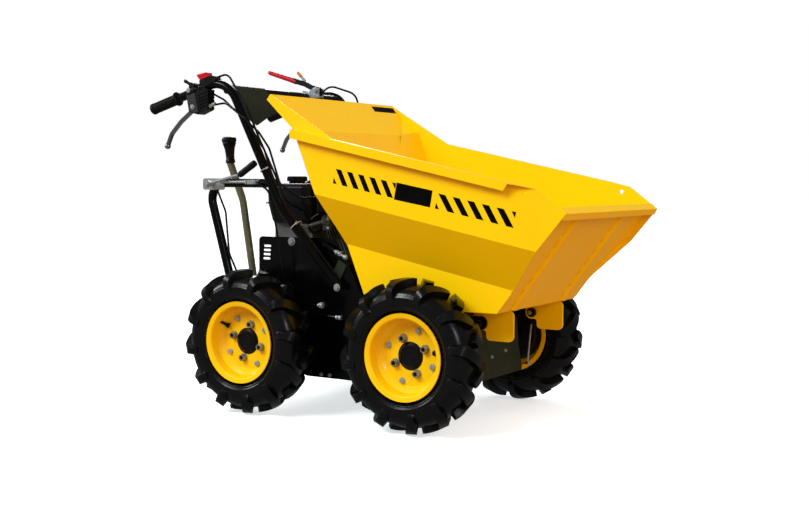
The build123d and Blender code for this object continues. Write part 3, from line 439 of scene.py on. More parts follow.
class Shape:
    """Closed solids in millimetres, collected into one mesh object."""

    def __init__(self, *finishes: Finish) -> None:
        """Starts with no solids.

        Args:
            finishes: the finishes that its solids may have. A solid has the first unless it names one.
        """
        self.finishes = finishes
        self.points: list[Vector] = []
        self.faces: list[tuple[int, ...]] = []
        self.slots: list[int] = []

    def rings(self, loops: Sequence[Sequence[Point]], at: Matrix | None = None,
              finish: Finish | None = None, closed: bool = False) -> None:
        """Adds a skin over a row of point loops, with a cap at each end unless it closes on itself.

        Args:
            loops: loops with the same number of points, in order.
            at: where the solid's frame lies.
            finish: its finish, or none for the shape's first.
            closed: True where the last loop meets the first.
        """
        n, count = len(loops[0]), len(loops)
        faces = []
        for i in range(count if closed else count - 1):
            a, b = i * n, ((i + 1) % count) * n
            faces += [(a + k, a + (k + 1) % n, b + (k + 1) % n, b + k) for k in range(n)]
        if not closed:
            faces.append(tuple(range(n - 1, -1, -1)))
            faces.append(tuple((count - 1) * n + k for k in range(n)))
        base = len(self.points)
        placing = at or Matrix.Identity(4)
        self.points += [placing @ Vector(p) for loop in loops for p in loop]
        flip = placing.to_3x3().determinant() < 0
        for face in faces:
            numbers = [base + i for i in face]
            self.faces.append(tuple(reversed(numbers)) if flip else tuple(numbers))
        self.slots += [self.finishes.index(finish) if finish else 0] * len(faces)

    def lathe(self, profile: Sequence[Pair], at: Matrix | None = None, steps: int = 32,
              finish: Finish | None = None) -> None:
        """Adds a turned solid with a bore, about local Z.

        Args:
            profile: radius and height of each corner of its section, closed on itself, anticlockwise.
            at: where the solid's frame lies.
            steps: how many flats make the turn.
            finish: its finish, or none for the shape's first.
        """
        loops = []
        for i in range(steps):
            a = 2 * math.pi * i / steps
            loops.append([(r * math.cos(a), r * math.sin(a), h) for r, h in profile])
        self.rings(loops, at, finish, closed=True)

    def disc(self, profile: Sequence[Pair], at: Matrix | None = None, steps: int = 24,
             finish: Finish | None = None) -> None:
        """Adds a turned solid with no bore, such as a boss, a knob or a bolt's shank.

        Args:
            profile: radius and height of each corner, from the foot to the top.
            at: where the solid's frame lies.
            steps: how many flats make the turn.
            finish: its finish, or none for the shape's first.
        """
        turn = [2 * math.pi * i / steps for i in range(steps)]
        self.rings([[(r * math.cos(a), r * math.sin(a), h) for a in turn] for r, h in profile], at, finish)

    def prism(self, outline: Sequence[Pair], low: float, high: float, at: Matrix | None = None,
              finish: Finish | None = None) -> None:
        """Adds a straight prism along local Z.

        Args:
            outline: corners of its section, anticlockwise.
            low: local height of its foot.
            high: local height of its top.
            at: where the solid's frame lies.
            finish: its finish, or none for the shape's first.
        """
        self.rings([[(x, y, h) for x, y in outline] for h in (low, high)], at, finish)

    def block(self, size: Point, at: Matrix | None = None, finish: Finish | None = None) -> None:
        """Adds a block that is centred on its local origin.

        Args:
            size: its three sides.
            at: where the block's frame lies.
            finish: its finish, or none for the shape's first.
        """
        x, y, z = (s / 2 for s in size)
        self.prism(rectangle((-x, -y), (x, y)), -z, z, at, finish)

    def tube(self, route: Sequence[Point], radius: float, sides: int = 12, finish: Finish | None = None,
             radii: Sequence[float] | None = None, squash: float = 1.0) -> None:
        """Adds a round bar along a route of close points.

        Args:
            route: the points of its centre line.
            radius: its radius.
            sides: how many flats go round.
            finish: its finish, or none for the shape's first.
            radii: a radius for each point, in place of the one radius.
            squash: how far the section is flattened across local Y.
        """
        points = [Vector(p) for p in route]
        last = len(points) - 1
        ways = [(points[min(i + 1, last)] - points[max(i - 1, 0)]).normalized() for i in range(last + 1)]
        side = Vector(LEFT)
        if abs(side.dot(ways[0])) > 0.9:
            side = Vector(UP)
        loops = []
        for i, (p, way) in enumerate(zip(points, ways)):
            side = (side - way * side.dot(way)).normalized()
            other = way.cross(side)
            r = radii[i] if radii else radius
            loops.append([p + side * (r * squash * math.cos(2 * math.pi * k / sides))
                          + other * (r * math.sin(2 * math.pi * k / sides)) for k in range(sides)])
        self.rings(loops, None, finish)

    def hexagon(self, at: Matrix, across: float, height: float, finish: Finish | None = None) -> None:
        """Adds a hexagon with its top corners turned off.

        Args:
            at: the seat, with local Z pointing away from it.
            across: width across the flats.
            height: height of the hexagon.
            finish: its finish, or none for the shape's first.
        """
        full = hex_outline(across)
        turned_from, turned_to = 0.8 * height, 0.9
        loops = [[(x, y, 0.0) for x, y in full], [(x, y, turned_from) for x, y in full],
                 [(x * turned_to, y * turned_to, height) for x, y in full]]
        self.rings(loops, at, finish)

    def screw(self, at: Matrix, across: float, washer: float, finish: Finish | None = None) -> None:
        """Adds a washer with a chamfered hexagon head on it.

        Args:
            at: the seat, with local Z pointing away from it.
            across: width across the flats.
            washer: the washer's diameter as a share of the width across the flats.
            finish: its finish, or none for the shape's first.
        """
        thickness, head = 1.4, across * 0.42
        radius = across * washer / 2
        self.disc([(radius, 0.0), (radius, thickness)], at, 28, finish)
        self.hexagon(at @ shifted(z=thickness), across, head, finish)

    def make(self, name: str, body: str, bevel: float = 0.0, crease_deg: float = 32.0,
             segments: int = 2, replaces: str = "") -> bpy.types.Object:
        """Turns the solids into one object that rides on a body.

        Args:
            name: the object's name.
            body: the body that it moves with.
            bevel: width of the rounded edges, or 0 for none.
            crease_deg: edges sharper than this stay sharp, or are rounded.
            segments: how many flats make a rounded edge.
            replaces: the CAD node that it stands for, if any.

        Returns:
            The new object.
        """
        mesh = bpy.data.meshes.new(name)
        mesh.from_pydata([p * MM for p in self.points], [], self.faces)
        mesh.update()
        for finish in self.finishes:
            mesh.materials.append(finish.build())
        mesh.polygons.foreach_set("material_index", self.slots)
        mesh.polygons.foreach_set("use_smooth", [True] * len(self.faces))
        mesh.set_sharp_from_angle(angle=math.radians(crease_deg))
        piece = bpy.data.objects.new(name, mesh)
        bpy.context.scene.collection.objects.link(piece)
        if bevel:
            round_edges(piece, bevel, crease_deg, segments)
        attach(piece, body)
        if replaces:
            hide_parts(replaces)
        return piece


@dataclass(frozen=True)
class Row:
    """Like small parts at several places.

    Attributes:
        places: their seats.
        way: the way that they point away from their seats.
        finish: their finish, or none for the shape's first.
        paired: True where the right side has mirrored ones.
    """

    places: Sequence[Point]
    way: Point
    finish: Finish | None = None
    paired: bool = False

    def seats(self) -> list[Matrix]:
        """The placing of each part, with local Z along its way."""
        x, y, z = self.way
        return [aim((px, side * py, pz), (x, side * y, z)) for side in (BOTH if self.paired else (1,))
                for px, py, pz in self.places]

    def add_part(self, shape: Shape, seat: Matrix) -> None:
        """Adds the part of one seat, as each kind of row makes it."""
        raise NotImplementedError

    def add_to(self, shape: Shape) -> None:
        """Adds every part to a shape."""
        for seat in self.seats():
            self.add_part(shape, seat)


@dataclass(frozen=True)
class Screws(Row):
    """Like hexagon screws or nuts.

    Attributes:
        across: width across the flats.
        washer: a washer's diameter as a share of that width, or 0 for a bare hexagon.
        height: height of a bare hexagon.
    """

    across: float = 13.0
    washer: float = 0.0
    height: float = 5.0

    def add_part(self, shape: Shape, seat: Matrix) -> None:
        """Adds one screw or nut.

        Args:
            shape: the shape that it goes to.
            seat: its placing.
        """
        if self.washer:
            shape.screw(seat, self.across, self.washer, self.finish)
        else:
            shape.hexagon(seat, self.across, self.height, self.finish)


@dataclass(frozen=True)
class Turned(Row):
    """Like turned parts, such as plugs, caps and round screw heads.

    Attributes:
        profile: radius and height of each corner, from the foot to the top.
        steps: how many flats make the turn.
    """

    profile: Sequence[Pair] = ()
    steps: int = 20

    def add_part(self, shape: Shape, seat: Matrix) -> None:
        """Adds one turned part at its seat."""
        shape.disc(self.profile, seat, self.steps, self.finish)


# ---------------------------------------------------------------------------------------------
# Wheels
# ---------------------------------------------------------------------------------------------


@dataclass
class LugTyre:
    """Small farm tyre with two staggered rows of slanted lugs that wrap over the shoulder."""

    width: float = 106.0
    crown: float = 185.5
    centre: float = 146.0
    lug_tip: float = 202.0
    lugs_per_side: int = 12
    turn_end_deg: float = 137.0
    bead: float = 102.0
    steps: int = 120
    # How square the section is across the tread and down the walls: 1 is an ellipse, less is squarer.
    squareness: Pair = (0.85, 0.92)
    # Mould rings on the wall: share of the way from the crown to the bead, and height.
    mould_rings: tuple[Pair, ...] = (
        (0.62, 1.0), (0.64, 1.0), (0.80, 0.9), (0.815, 0.9), (0.90, 1.2), (0.92, 1.2),
    )
    ring_reach: float = 0.012
    # Path of one lug: along the section from the crown, round the tyre, base width, top width, height.
    lug_path: tuple[tuple[float, float, float, float, float], ...] = (
        (-7.0, -8.0, 25.0, 18.0, 16.0),
        (4.0, 1.0, 30.0, 23.0, 16.4),
        (16.0, 11.0, 31.0, 24.0, 16.6),
        (28.0, 21.0, 31.0, 24.0, 17.0),
        (38.0, 28.0, 32.0, 24.0, 17.5),
        (47.0, 33.0, 33.0, 24.0, 16.5),
        (56.0, 36.0, 33.0, 22.0, 12.5),
        (66.0, 38.0, 31.0, 20.0, 8.0),
        (77.0, 39.0, 28.0, 17.0, 3.5),
    )
    # A lug's flank bends at this share of its base width and of its height, and its root is sunk.
    lug_flank: Pair = (0.46, 0.25)
    lug_sunk: float = 3.0
    # The short ridges near the bead: how many, their size, and where they stand.
    ridges: int = 60
    ridge_size: Point = (9.0, 1.2, 1.6)
    ridge_radius: float = 122.0
    ridge_out: float = 45.6

    def __post_init__(self) -> None:
        """Works out the section as close points with their distance along it."""
        count = 160
        across, down = self.squareness
        self.section = []
        for i in range(count + 1):
            a = math.radians(self.turn_end_deg) * i / count
            u = self.width / 2 * math.sin(a) ** across
            rise = math.copysign(abs(math.cos(a)) ** down, math.cos(a))
            self.section.append((u, self.centre + (self.crown - self.centre) * rise))
        self.along = [0.0]
        for (u0, r0), (u1, r1) in zip(self.section, self.section[1:]):
            self.along.append(self.along[-1] + math.hypot(u1 - u0, r1 - r0))

    def on_section(self, distance: float) -> tuple[float, float, float, float]:
        """Gives a point of the section and its outward normal.

        Args:
            distance: distance along the section from the crown, less than 0 on the other side.

        Returns:
            Axial place, radius, and the two parts of the outward normal.
        """
        side = 1.0 if distance >= 0 else -1.0
        wanted = min(abs(distance), self.along[-1] - 0.01)
        i = max(1, next(k for k, v in enumerate(self.along) if v >= wanted))
        (u0, r0), (u1, r1) = self.section[i - 1], self.section[i]
        t = (wanted - self.along[i - 1]) / max(self.along[i] - self.along[i - 1], 1e-6)
        du, dr = u1 - u0, r1 - r0
        size = math.hypot(du, dr) or 1.0
        return side * (u0 + du * t), r0 + dr * t, side * -dr / size, du / size

    def carcass(self, shape: Shape) -> None:
        """Adds the smooth casing with its mould rings, turned about local Z.

        Args:
            shape: the shape that it goes to.
        """
        count = 46
        outer = []
        for i in range(count + 1):
            share = i / count
            u, r, nu, nr = self.on_section(share * self.along[-1])
            near = [height for place, height in self.mould_rings if abs(place - share) < self.ring_reach]
            lift = max(near, default=0.0)
            outer.append((r + nr * lift, u + nu * lift))
        foot = outer[-1][1] * 0.98
        profile = [*reversed(outer), *[(r, -u) for r, u in outer[1:]], (self.bead, -foot), (self.bead, foot)]
        shape.lathe(profile[::-1], None, self.steps)

    def lug(self, shape: Shape, side: int, start_deg: float) -> None:
        """Adds one lug.

        Args:
            shape: the shape that it goes to.
            side: 1 or -1, the side of the crown that it is on.
            start_deg: where round the tyre it starts.
        """
        stations = smooth_route([(q, s, 0.0) for q, s, _, _, _ in self.lug_path], 2)
        widths = smooth_route([(base, top, height) for _, _, base, top, height in self.lug_path], 2)
        loops = []
        for i, (place, (base, top, height)) in enumerate(zip(stations, widths)):
            ahead = stations[min(i + 1, len(stations) - 1)] - stations[max(i - 1, 0)]
            across = Vector((-ahead.y, ahead.x, 0)).normalized()
            flank, bend = self.lug_flank
            half = [(0.5, -self.lug_sunk), (flank, height * bend), (0.5 * top / base, height)]
            loop = []
            for share, lift in [*[(-s, h) for s, h in half], *half[::-1]]:
                q = place.x + across.x * share * base
                s = place.y + across.y * share * base
                u, r, nu, nr = self.on_section(q)
                reach = min(r + nr * lift, self.lug_tip)
                turn = math.radians(start_deg) + s / self.crown
                loop.append((reach * math.cos(turn), reach * math.sin(turn), side * (u + nu * lift)))
            loops.append(loop[::-side])
        shape.rings(loops)

    def build(self, place: str, centre: Vector, side: int) -> bpy.types.Object:
        """Builds the whole tyre.

        Args:
            place: which wheel it is on.
            centre: the wheel's centre.
            side: 1 on the machine's left, -1 on its right.

        Returns:
            The tyre.
        """
        shape = Shape(PAINT.tyre)
        self.carcass(shape)
        pitch = 360 / self.lugs_per_side
        for i in range(self.lugs_per_side):
            self.lug(shape, 1, i * pitch)
            self.lug(shape, -1, (i + 0.5) * pitch)
        for i in range(self.ridges):
            for face in BOTH:
                seat = turned(360 * i / self.ridges) @ shifted(self.ridge_radius, 0, face * self.ridge_out)
                shape.block(self.ridge_size, seat)
        placing = aim(centre, (0, side, 0))
        shape.points = [placing @ p for p in shape.points]
        return shape.make(f"tyre_tread_{place}", f"wheel_{place}", bevel=1.6, crease_deg=28.0,
                          replaces=f"tyre_{place}")


@dataclass
class WheelHardware:
    """Nuts, rim bolts, valve, cap rings and the black drum of one wheel, a dark disc that is partly a hub
    drum and partly painted shade in the rim's hollow.
    """

    nut_circle: float = 98.0
    bolt_circle: float = 140.0
    bolt_ahead_deg: float = 45.0
    nut_across: float = 18.0
    bolt_across: float = 13.0
    bolt_washer: float = 1.35
    disc_out: float = 3.0
    # Raised rings on the cap: outer and inner radius, and height.
    cap_rings: tuple[tuple[float, float, float], ...] = ((28.0, 25.5, 1.4), (16.0, 13.5, 1.0))
    # The collar round the cap's foot: radius and height above the wheel's disc.
    collar: tuple[Pair, ...] = ((34.5, -1.0), (37.5, -1.0), (36.7, 1.4), (34.5, 2.0))
    # The valve: radius and height along its own axis, and where it stands and leans.
    valve: tuple[Pair, ...] = (
        (8.0, -2.0), (6.6, 5.0), (4.4, 9.0), (4.4, 24.0), (5.4, 25.0), (5.4, 33.0), (4.6, 34.0), (4.0, 34.0),
    )
    valve_ahead_deg: float = -15.0
    valve_foot: float = 76.0
    valve_above_disc: float = 4.0
    valve_lean_deg: float = 62.0
    # Radius and height of the black drum behind the wheel's disc, which shows from the inner side: partly a
    # hub drum, partly painted shade filling the rim's hollow.
    drum_and_rim_shade: tuple[Pair, ...] = ((22.0, -46.0), (78.0, -46.0), (84.0, -42.0), (84.0, -8.0), (22.0, -8.0))

    def spun(self, angle_deg: float, radius: float, height: float) -> Matrix:
        """Placing at an angle, a radius and a height in the wheel's own frame."""
        return turned(angle_deg) @ shifted(radius, 0, height)

    def nut(self, shape: Shape, at: Matrix) -> None:
        """Adds a tall open wheel nut on its collar, with the stud's dark end sunk in it.

        Args:
            shape: the shape that the solids go to.
            at: the seat, with local Z pointing away from it.
        """
        across, steps = self.nut_across, 24
        collar, height, bore, foot = across * 0.68, across * 0.75, across * 0.32, 2.5
        shape.disc([(collar, 0.0), (collar, 2.0), (collar * 0.86, 3.2)], at, 28)
        loops = []
        for i in range(steps):
            a = 2 * math.pi * i / steps
            edge = across / 2 / max(abs(math.cos((a % (math.pi / 3)) - math.pi / 6)), 0.5)
            ring = [(edge, foot), (edge, height * 0.85), (edge * 0.9, height), (bore, height),
                    (bore, height - 5.0), (bore, foot)]
            loops.append([(r * math.cos(a), r * math.sin(a), h) for r, h in ring])
        shape.rings(loops, at, closed=True)
        stud = [(bore * 0.98, 2.0), (bore * 0.98, height - 4.0), (bore * 0.7, height - 2.6)]
        shape.disc(stud, at, 16, PAINT.cast_black)

    def cap(self, shape: Shape, placing: Matrix, face: float) -> None:
        """Adds the raised rings of the pressed hub cap, and the collar round its foot.

        Args:
            shape: the shape that they go to.
            placing: the wheel's own frame.
            face: height of the cap's flat face.
        """
        sunk, slope = 0.5, 0.6
        for outer, inner, lift in self.cap_rings:
            ring = [(inner, face - sunk), (outer, face - sunk), (outer - slope, face + lift),
                    (inner + slope, face + lift)]
            shape.lathe(ring, placing, 48, PAINT.cast_black)
        shape.lathe([(r, self.disc_out + h) for r, h in self.collar], placing, 64, PAINT.cast_black)

    def build(self, place: str, centre: Vector, side: int, turn_deg: float) -> bpy.types.Object:
        """Builds the hardware of one wheel.

        Args:
            place: which wheel it is.
            centre: the wheel's centre.
            side: 1 on the machine's left, -1 on its right.
            turn_deg: how far the wheel has rolled.

        Returns:
            The hardware, as one object.
        """
        shape = Shape(PAINT.nut_zinc, PAINT.cast_black, PAINT.zinc)
        placing = aim(centre, (0, side, 0))
        for i in range(4):
            angle = turn_deg + 90 * i
            self.nut(shape, placing @ self.spun(angle, self.nut_circle / 2, self.disc_out))
            bolt = placing @ self.spun(angle + self.bolt_ahead_deg, self.bolt_circle / 2, self.disc_out)
            shape.screw(bolt, self.bolt_across, self.bolt_washer, PAINT.zinc)
        valve_out = self.disc_out + self.valve_above_disc
        foot = self.spun(turn_deg + self.valve_ahead_deg, self.valve_foot, valve_out)
        shape.disc(self.valve, placing @ foot @ turned(self.valve_lean_deg, "Y"), 16, PAINT.cast_black)
        # The black drum is partly a hub drum and partly painted shade inside the rim.
        shape.lathe(self.drum_and_rim_shade, placing, 48, PAINT.cast_black)
        low, high = corners(f"hub_{place}")
        self.cap(shape, placing, max(abs(low.y), abs(high.y)) - abs(centre.y))
        return shape.make(f"wheel_bolts_{place}", f"wheel_{place}", bevel=0.5,
                          crease_deg=30.0)


@dataclass
class Wheels:
    """The four wheels' tyres and hardware."""

    # Each wheel, and how far it has rolled, in degrees.
    places: tuple[tuple[str, float], ...] = (
        ("front_right", 25.0), ("front_left", 60.0), ("rear_right", 164.0), ("rear_left", 10.0),
    )

    def build(self) -> list[bpy.types.Object]:
        """Builds every wheel's looks.

        Returns:
            The pieces.
        """
        tyre, hardware, pieces = LugTyre(), WheelHardware(), []
        for place, turn in self.places:
            side = 1 if place.endswith("left") else -1
            centre = middle(f"tyre_{place}")
            pieces.append(tyre.build(place, centre, side))
            pieces.append(hardware.build(place, centre, side, turn))
        return pieces


# ---------------------------------------------------------------------------------------------
# Skip
# ---------------------------------------------------------------------------------------------


def weld(shape: Shape, route: Sequence[Point], leg: float) -> None:
    """Adds a weld bead: a bar whose width swells with each drop, and tapers off at its ends.

    Args:
        shape: the shape that it goes to.
        route: corners of the seam.
        leg: half the bead's width.
    """
    drop, points_a_drop = 4.5, 3
    line = []
    for a, b in zip(route, route[1:]):
        start, end = Vector(a), Vector(b)
        count = max(2, round((end - start).length / (drop / points_a_drop)))
        line += [start.lerp(end, i / count) for i in range(count)]
    line.append(Vector(route[-1]))
    sizes = [leg * (0.78 + 0.22 * abs(math.sin(math.pi * i / points_a_drop))) for i in range(len(line))]
    sizes[0] = sizes[-1] = leg * 0.3
    shape.tube(line, leg, 6, radii=sizes)


@dataclass
class SkipTrim:
    """Welds, stripes and blank plates on the folded skip."""

    body: str = "skip"
    half_width: float = 311.0
    belly_half: float = 238.0
    sheet: float = 3.0
    # X and Z where a side's upper fold starts, how much it falls for each mm forward, and how far
    # below it, square to it, the lower fold lies.
    upper_fold: Pair = (-54.0, 614.0)
    fold_slope: float = 0.203
    fold_drop: float = 121.0
    floor_z: float = 317.0
    floor_front_x: float = 457.0
    front_lean: float = 0.745
    rear_lean: float = 0.41
    lip_z: float = 586.0
    rear_seam_top: float = 780.0
    # X and Z of the back board's foot and top.
    board_foot: Pair = (-121.9, 787.4)
    board_top: Pair = (-199.2, 884.0)
    board_weld_out: float = 2.8
    # How far a bead lies inside a side's inner face, and in front of the rear wall's middle.
    bead_inset: float = 0.6
    bead_ahead: float = 4.4
    # The rib's place and half width, and its row of short beads: count, first, pitch and run.
    rib_y: float = 150.0
    rib_half: float = 22.0
    rib_beads: tuple[int, float, float, float] = (8, 14.0, 31.0, 17.0)
    # The pivot bracket's seam: its ends in X, its middle in Y, and how far each bead lies from that.
    bracket_x: Pair = (352.0, 454.0)
    bracket_y: float = 152.0
    bracket_face: float = 4.4
    # Stripes: X of the first one's upper corner, distance between two, slant over the band's height.
    stripe_groups: tuple[tuple[float, float, float], ...] = ((15.5, 35.1, 20.5), (328.0, 41.1, 26.5))
    stripes_each: int = 5
    stripe_share: float = 0.49
    band_top_z: float = 684.4
    band_slope: float = -0.198
    band_height: float = 39.7
    # The cut stripes at a group's ends: along from the first stripe and above the band's foot, and
    # along from past the last stripe and below the band's top.
    first_cut: tuple[Pair, ...] = ((-9.5, 0.0), (2.0, 0.0), (-6.5, 15.0))
    last_cut: tuple[Pair, ...] = ((0.0, 0.0), (8.7, 15.0), (12.0, 0.0))
    film: float = 0.35
    # Corners of the blank plate between the stripes, X and Z.
    plate: tuple[Pair, ...] = ((196.4, 602.7), (303.9, 584.1), (311.3, 626.4), (205.0, 646.2))
    # Lowest and highest corner of the blank label on the back board, Y and Z.
    label: tuple[Pair, Pair] = ((177.0, 860.0), (300.0, 876.0))

    def front_x(self, z: float) -> float:
        """X of the front wall's outer face at a height."""
        return self.floor_front_x + self.front_lean * (z - self.floor_z)

    def rear_x(self, z: float) -> float:
        """X of the rear wall's outer face at a height."""
        return self.upper_fold[0] + self.rear_lean * (self.upper_fold[1] - z)

    def inner_half(self, x: float, z: float) -> float:
        """Gives the distance of a side sheet's inner face from the middle plane.

        Args:
            x: place along the skip.
            z: height.

        Returns:
            Half the width between the sheets there.
        """
        fold_x, fold_z = self.upper_fold
        below = (fold_z - self.fold_slope * (x - fold_x) - z) / math.hypot(1, self.fold_slope)
        share = min(max(below / self.fold_drop, 0.0), 1.0)
        return self.half_width - self.sheet - (self.half_width - self.belly_half) * share

    def seam(self, wall_x: Callable[[float], float], low: float, high: float, side: int,
             inset: float) -> list[Point]:
        """Gives the seam between a wall and a folded side.

        Args:
            wall_x: gives the wall's X at a height.
            low: height of the seam's foot.
            high: height of its top.
            side: 1 on the left, -1 on the right.
            inset: how far the bead lies inside the side sheet's inner face.

        Returns:
            Points along the seam, from the foot up.
        """
        count = 12
        heights = [low + (high - low) * i / count for i in range(count + 1)]
        return [(wall_x(z), side * (self.inner_half(wall_x(z), z) - inset), z) for z in heights]

    def wall_welds(self, shape: Shape, side: int) -> None:
        """Lays the beads that hold the front and rear walls to one side.

        Args:
            shape: the shape that they go to.
            side: 1 on the left, -1 on the right.
        """
        top, inset = self.rear_seam_top, self.bead_inset
        weld(shape, self.seam(self.front_x, self.floor_z + 6, self.lip_z, side, inset), 2.8)
        weld(shape, self.seam(self.rear_x, self.floor_z + 4, top, side, 0.0), 2.2)
        inside = self.seam(self.rear_x, self.floor_z + 8, top, side, inset)
        weld(shape, [(x + self.bead_ahead, y, z) for x, y, z in inside], 2.6)

    def floor_welds(self, shape: Shape, side: int) -> None:
        """Lays the beads along one edge of the floor, beside a rib and on a pivot bracket.

        Args:
            shape: the shape that they go to.
            side: 1 on the left, -1 on the right.
        """
        floor_y = side * (self.belly_half - self.sheet)
        start, end = self.rear_x(self.floor_z) + 8, self.floor_front_x - 6
        for z in (self.floor_z, self.floor_z + self.sheet + 0.4):
            weld(shape, [(start, floor_y, z), (end, floor_y, z)], 2.0)
        count, first, pitch, run = self.rib_beads
        for edge in BOTH:
            y = side * self.rib_y + edge * (self.rib_half + 1.0)
            for i in range(count):
                low = self.floor_z + first + i * pitch
                weld(shape, [(self.front_x(z) + 0.5, y, z) for z in (low, low + run)], 2.4)
            y = side * self.bracket_y + edge * self.bracket_face
            weld(shape, [(x, y, self.floor_z - 0.6) for x in self.bracket_x], 2.6)

    def build_welds(self) -> bpy.types.Object:
        """Lays every bead of the skip.

        Returns:
            The beads.
        """
        shape = Shape(PAINT.weld_yellow)
        for side in BOTH:
            self.wall_welds(shape, side)
            self.floor_welds(shape, side)
        across = self.half_width - self.sheet - 3
        x, z = self.board_foot
        weld(shape, [(x - self.board_weld_out, side * across, z) for side in BOTH], 2.2)
        return shape.make("skip_welds", self.body, crease_deg=60.0)

    def film_piece(self, shape: Shape, outline: Sequence[Pair], side: int) -> None:
        """Adds one piece of film to the upright face of a side.

        Args:
            shape: the shape that it goes to.
            outline: corners in X and Z.
            side: 1 on the left, -1 on the right.
        """
        face = side * self.half_width
        loops = [[(x, y, z) for x, z in outline] for y in (face, face + side * self.film)]
        shape.rings(loops[::-side])

    def build_stripes(self) -> bpy.types.Object:
        """Lays the slanted black stripes along both sides.

        Returns:
            The stripes.
        """
        shape = Shape(PAINT.vinyl)

        def on_band(*points: Pair) -> list[Pair]:
            """Points of the band, by their X and their distance below the band's top."""
            return [(x, self.band_top_z + self.band_slope * x - down) for x, down in points]

        height = self.band_height
        for side in BOTH:
            for start, pitch, slant in self.stripe_groups:
                width = pitch * self.stripe_share
                for i in range(self.stripes_each):
                    x = start + i * pitch
                    foot = x + slant
                    stripe = on_band((x, 0), (foot, height), (foot + width, height), (x + width, 0))
                    self.film_piece(shape, stripe, side)
                end = start + self.stripes_each * pitch
                first = on_band(*[(start + x, height - up) for x, up in self.first_cut])
                last = on_band(*[(end + x, down) for x, down in self.last_cut])
                for cut in (first, last):
                    self.film_piece(shape, cut, side)
        return shape.make("skip_stripes", self.body, crease_deg=30.0)

    def build_blank_plates(self) -> bpy.types.Object:
        """Lays the blank plate between the stripes, and the blank label on the back board.

        Returns:
            Both, as one piece.
        """
        shape = Shape(PAINT.vinyl)
        self.film_piece(shape, self.plate, -1)
        (foot_x, foot_z), (top_x, top_z) = self.board_foot, self.board_top
        lean = (top_x - foot_x) / (top_z - foot_z)
        out = Vector((1.0, 0.0, -lean)).normalized() * self.film
        corners_on_board = [Vector((foot_x + lean * (z - foot_z), y, z)) for y, z in rectangle(*self.label)]
        shape.rings([corners_on_board, [corner + out for corner in corners_on_board]])
        return shape.make("skip_blank_plates", self.body, crease_deg=30.0)

    def build(self) -> list[bpy.types.Object]:
        """Builds everything that is fixed to the skip.

        Returns:
            The pieces.
        """
        return [self.build_welds(), self.build_stripes(), self.build_blank_plates()]


# ---------------------------------------------------------------------------------------------
# Chassis and engine
# ---------------------------------------------------------------------------------------------


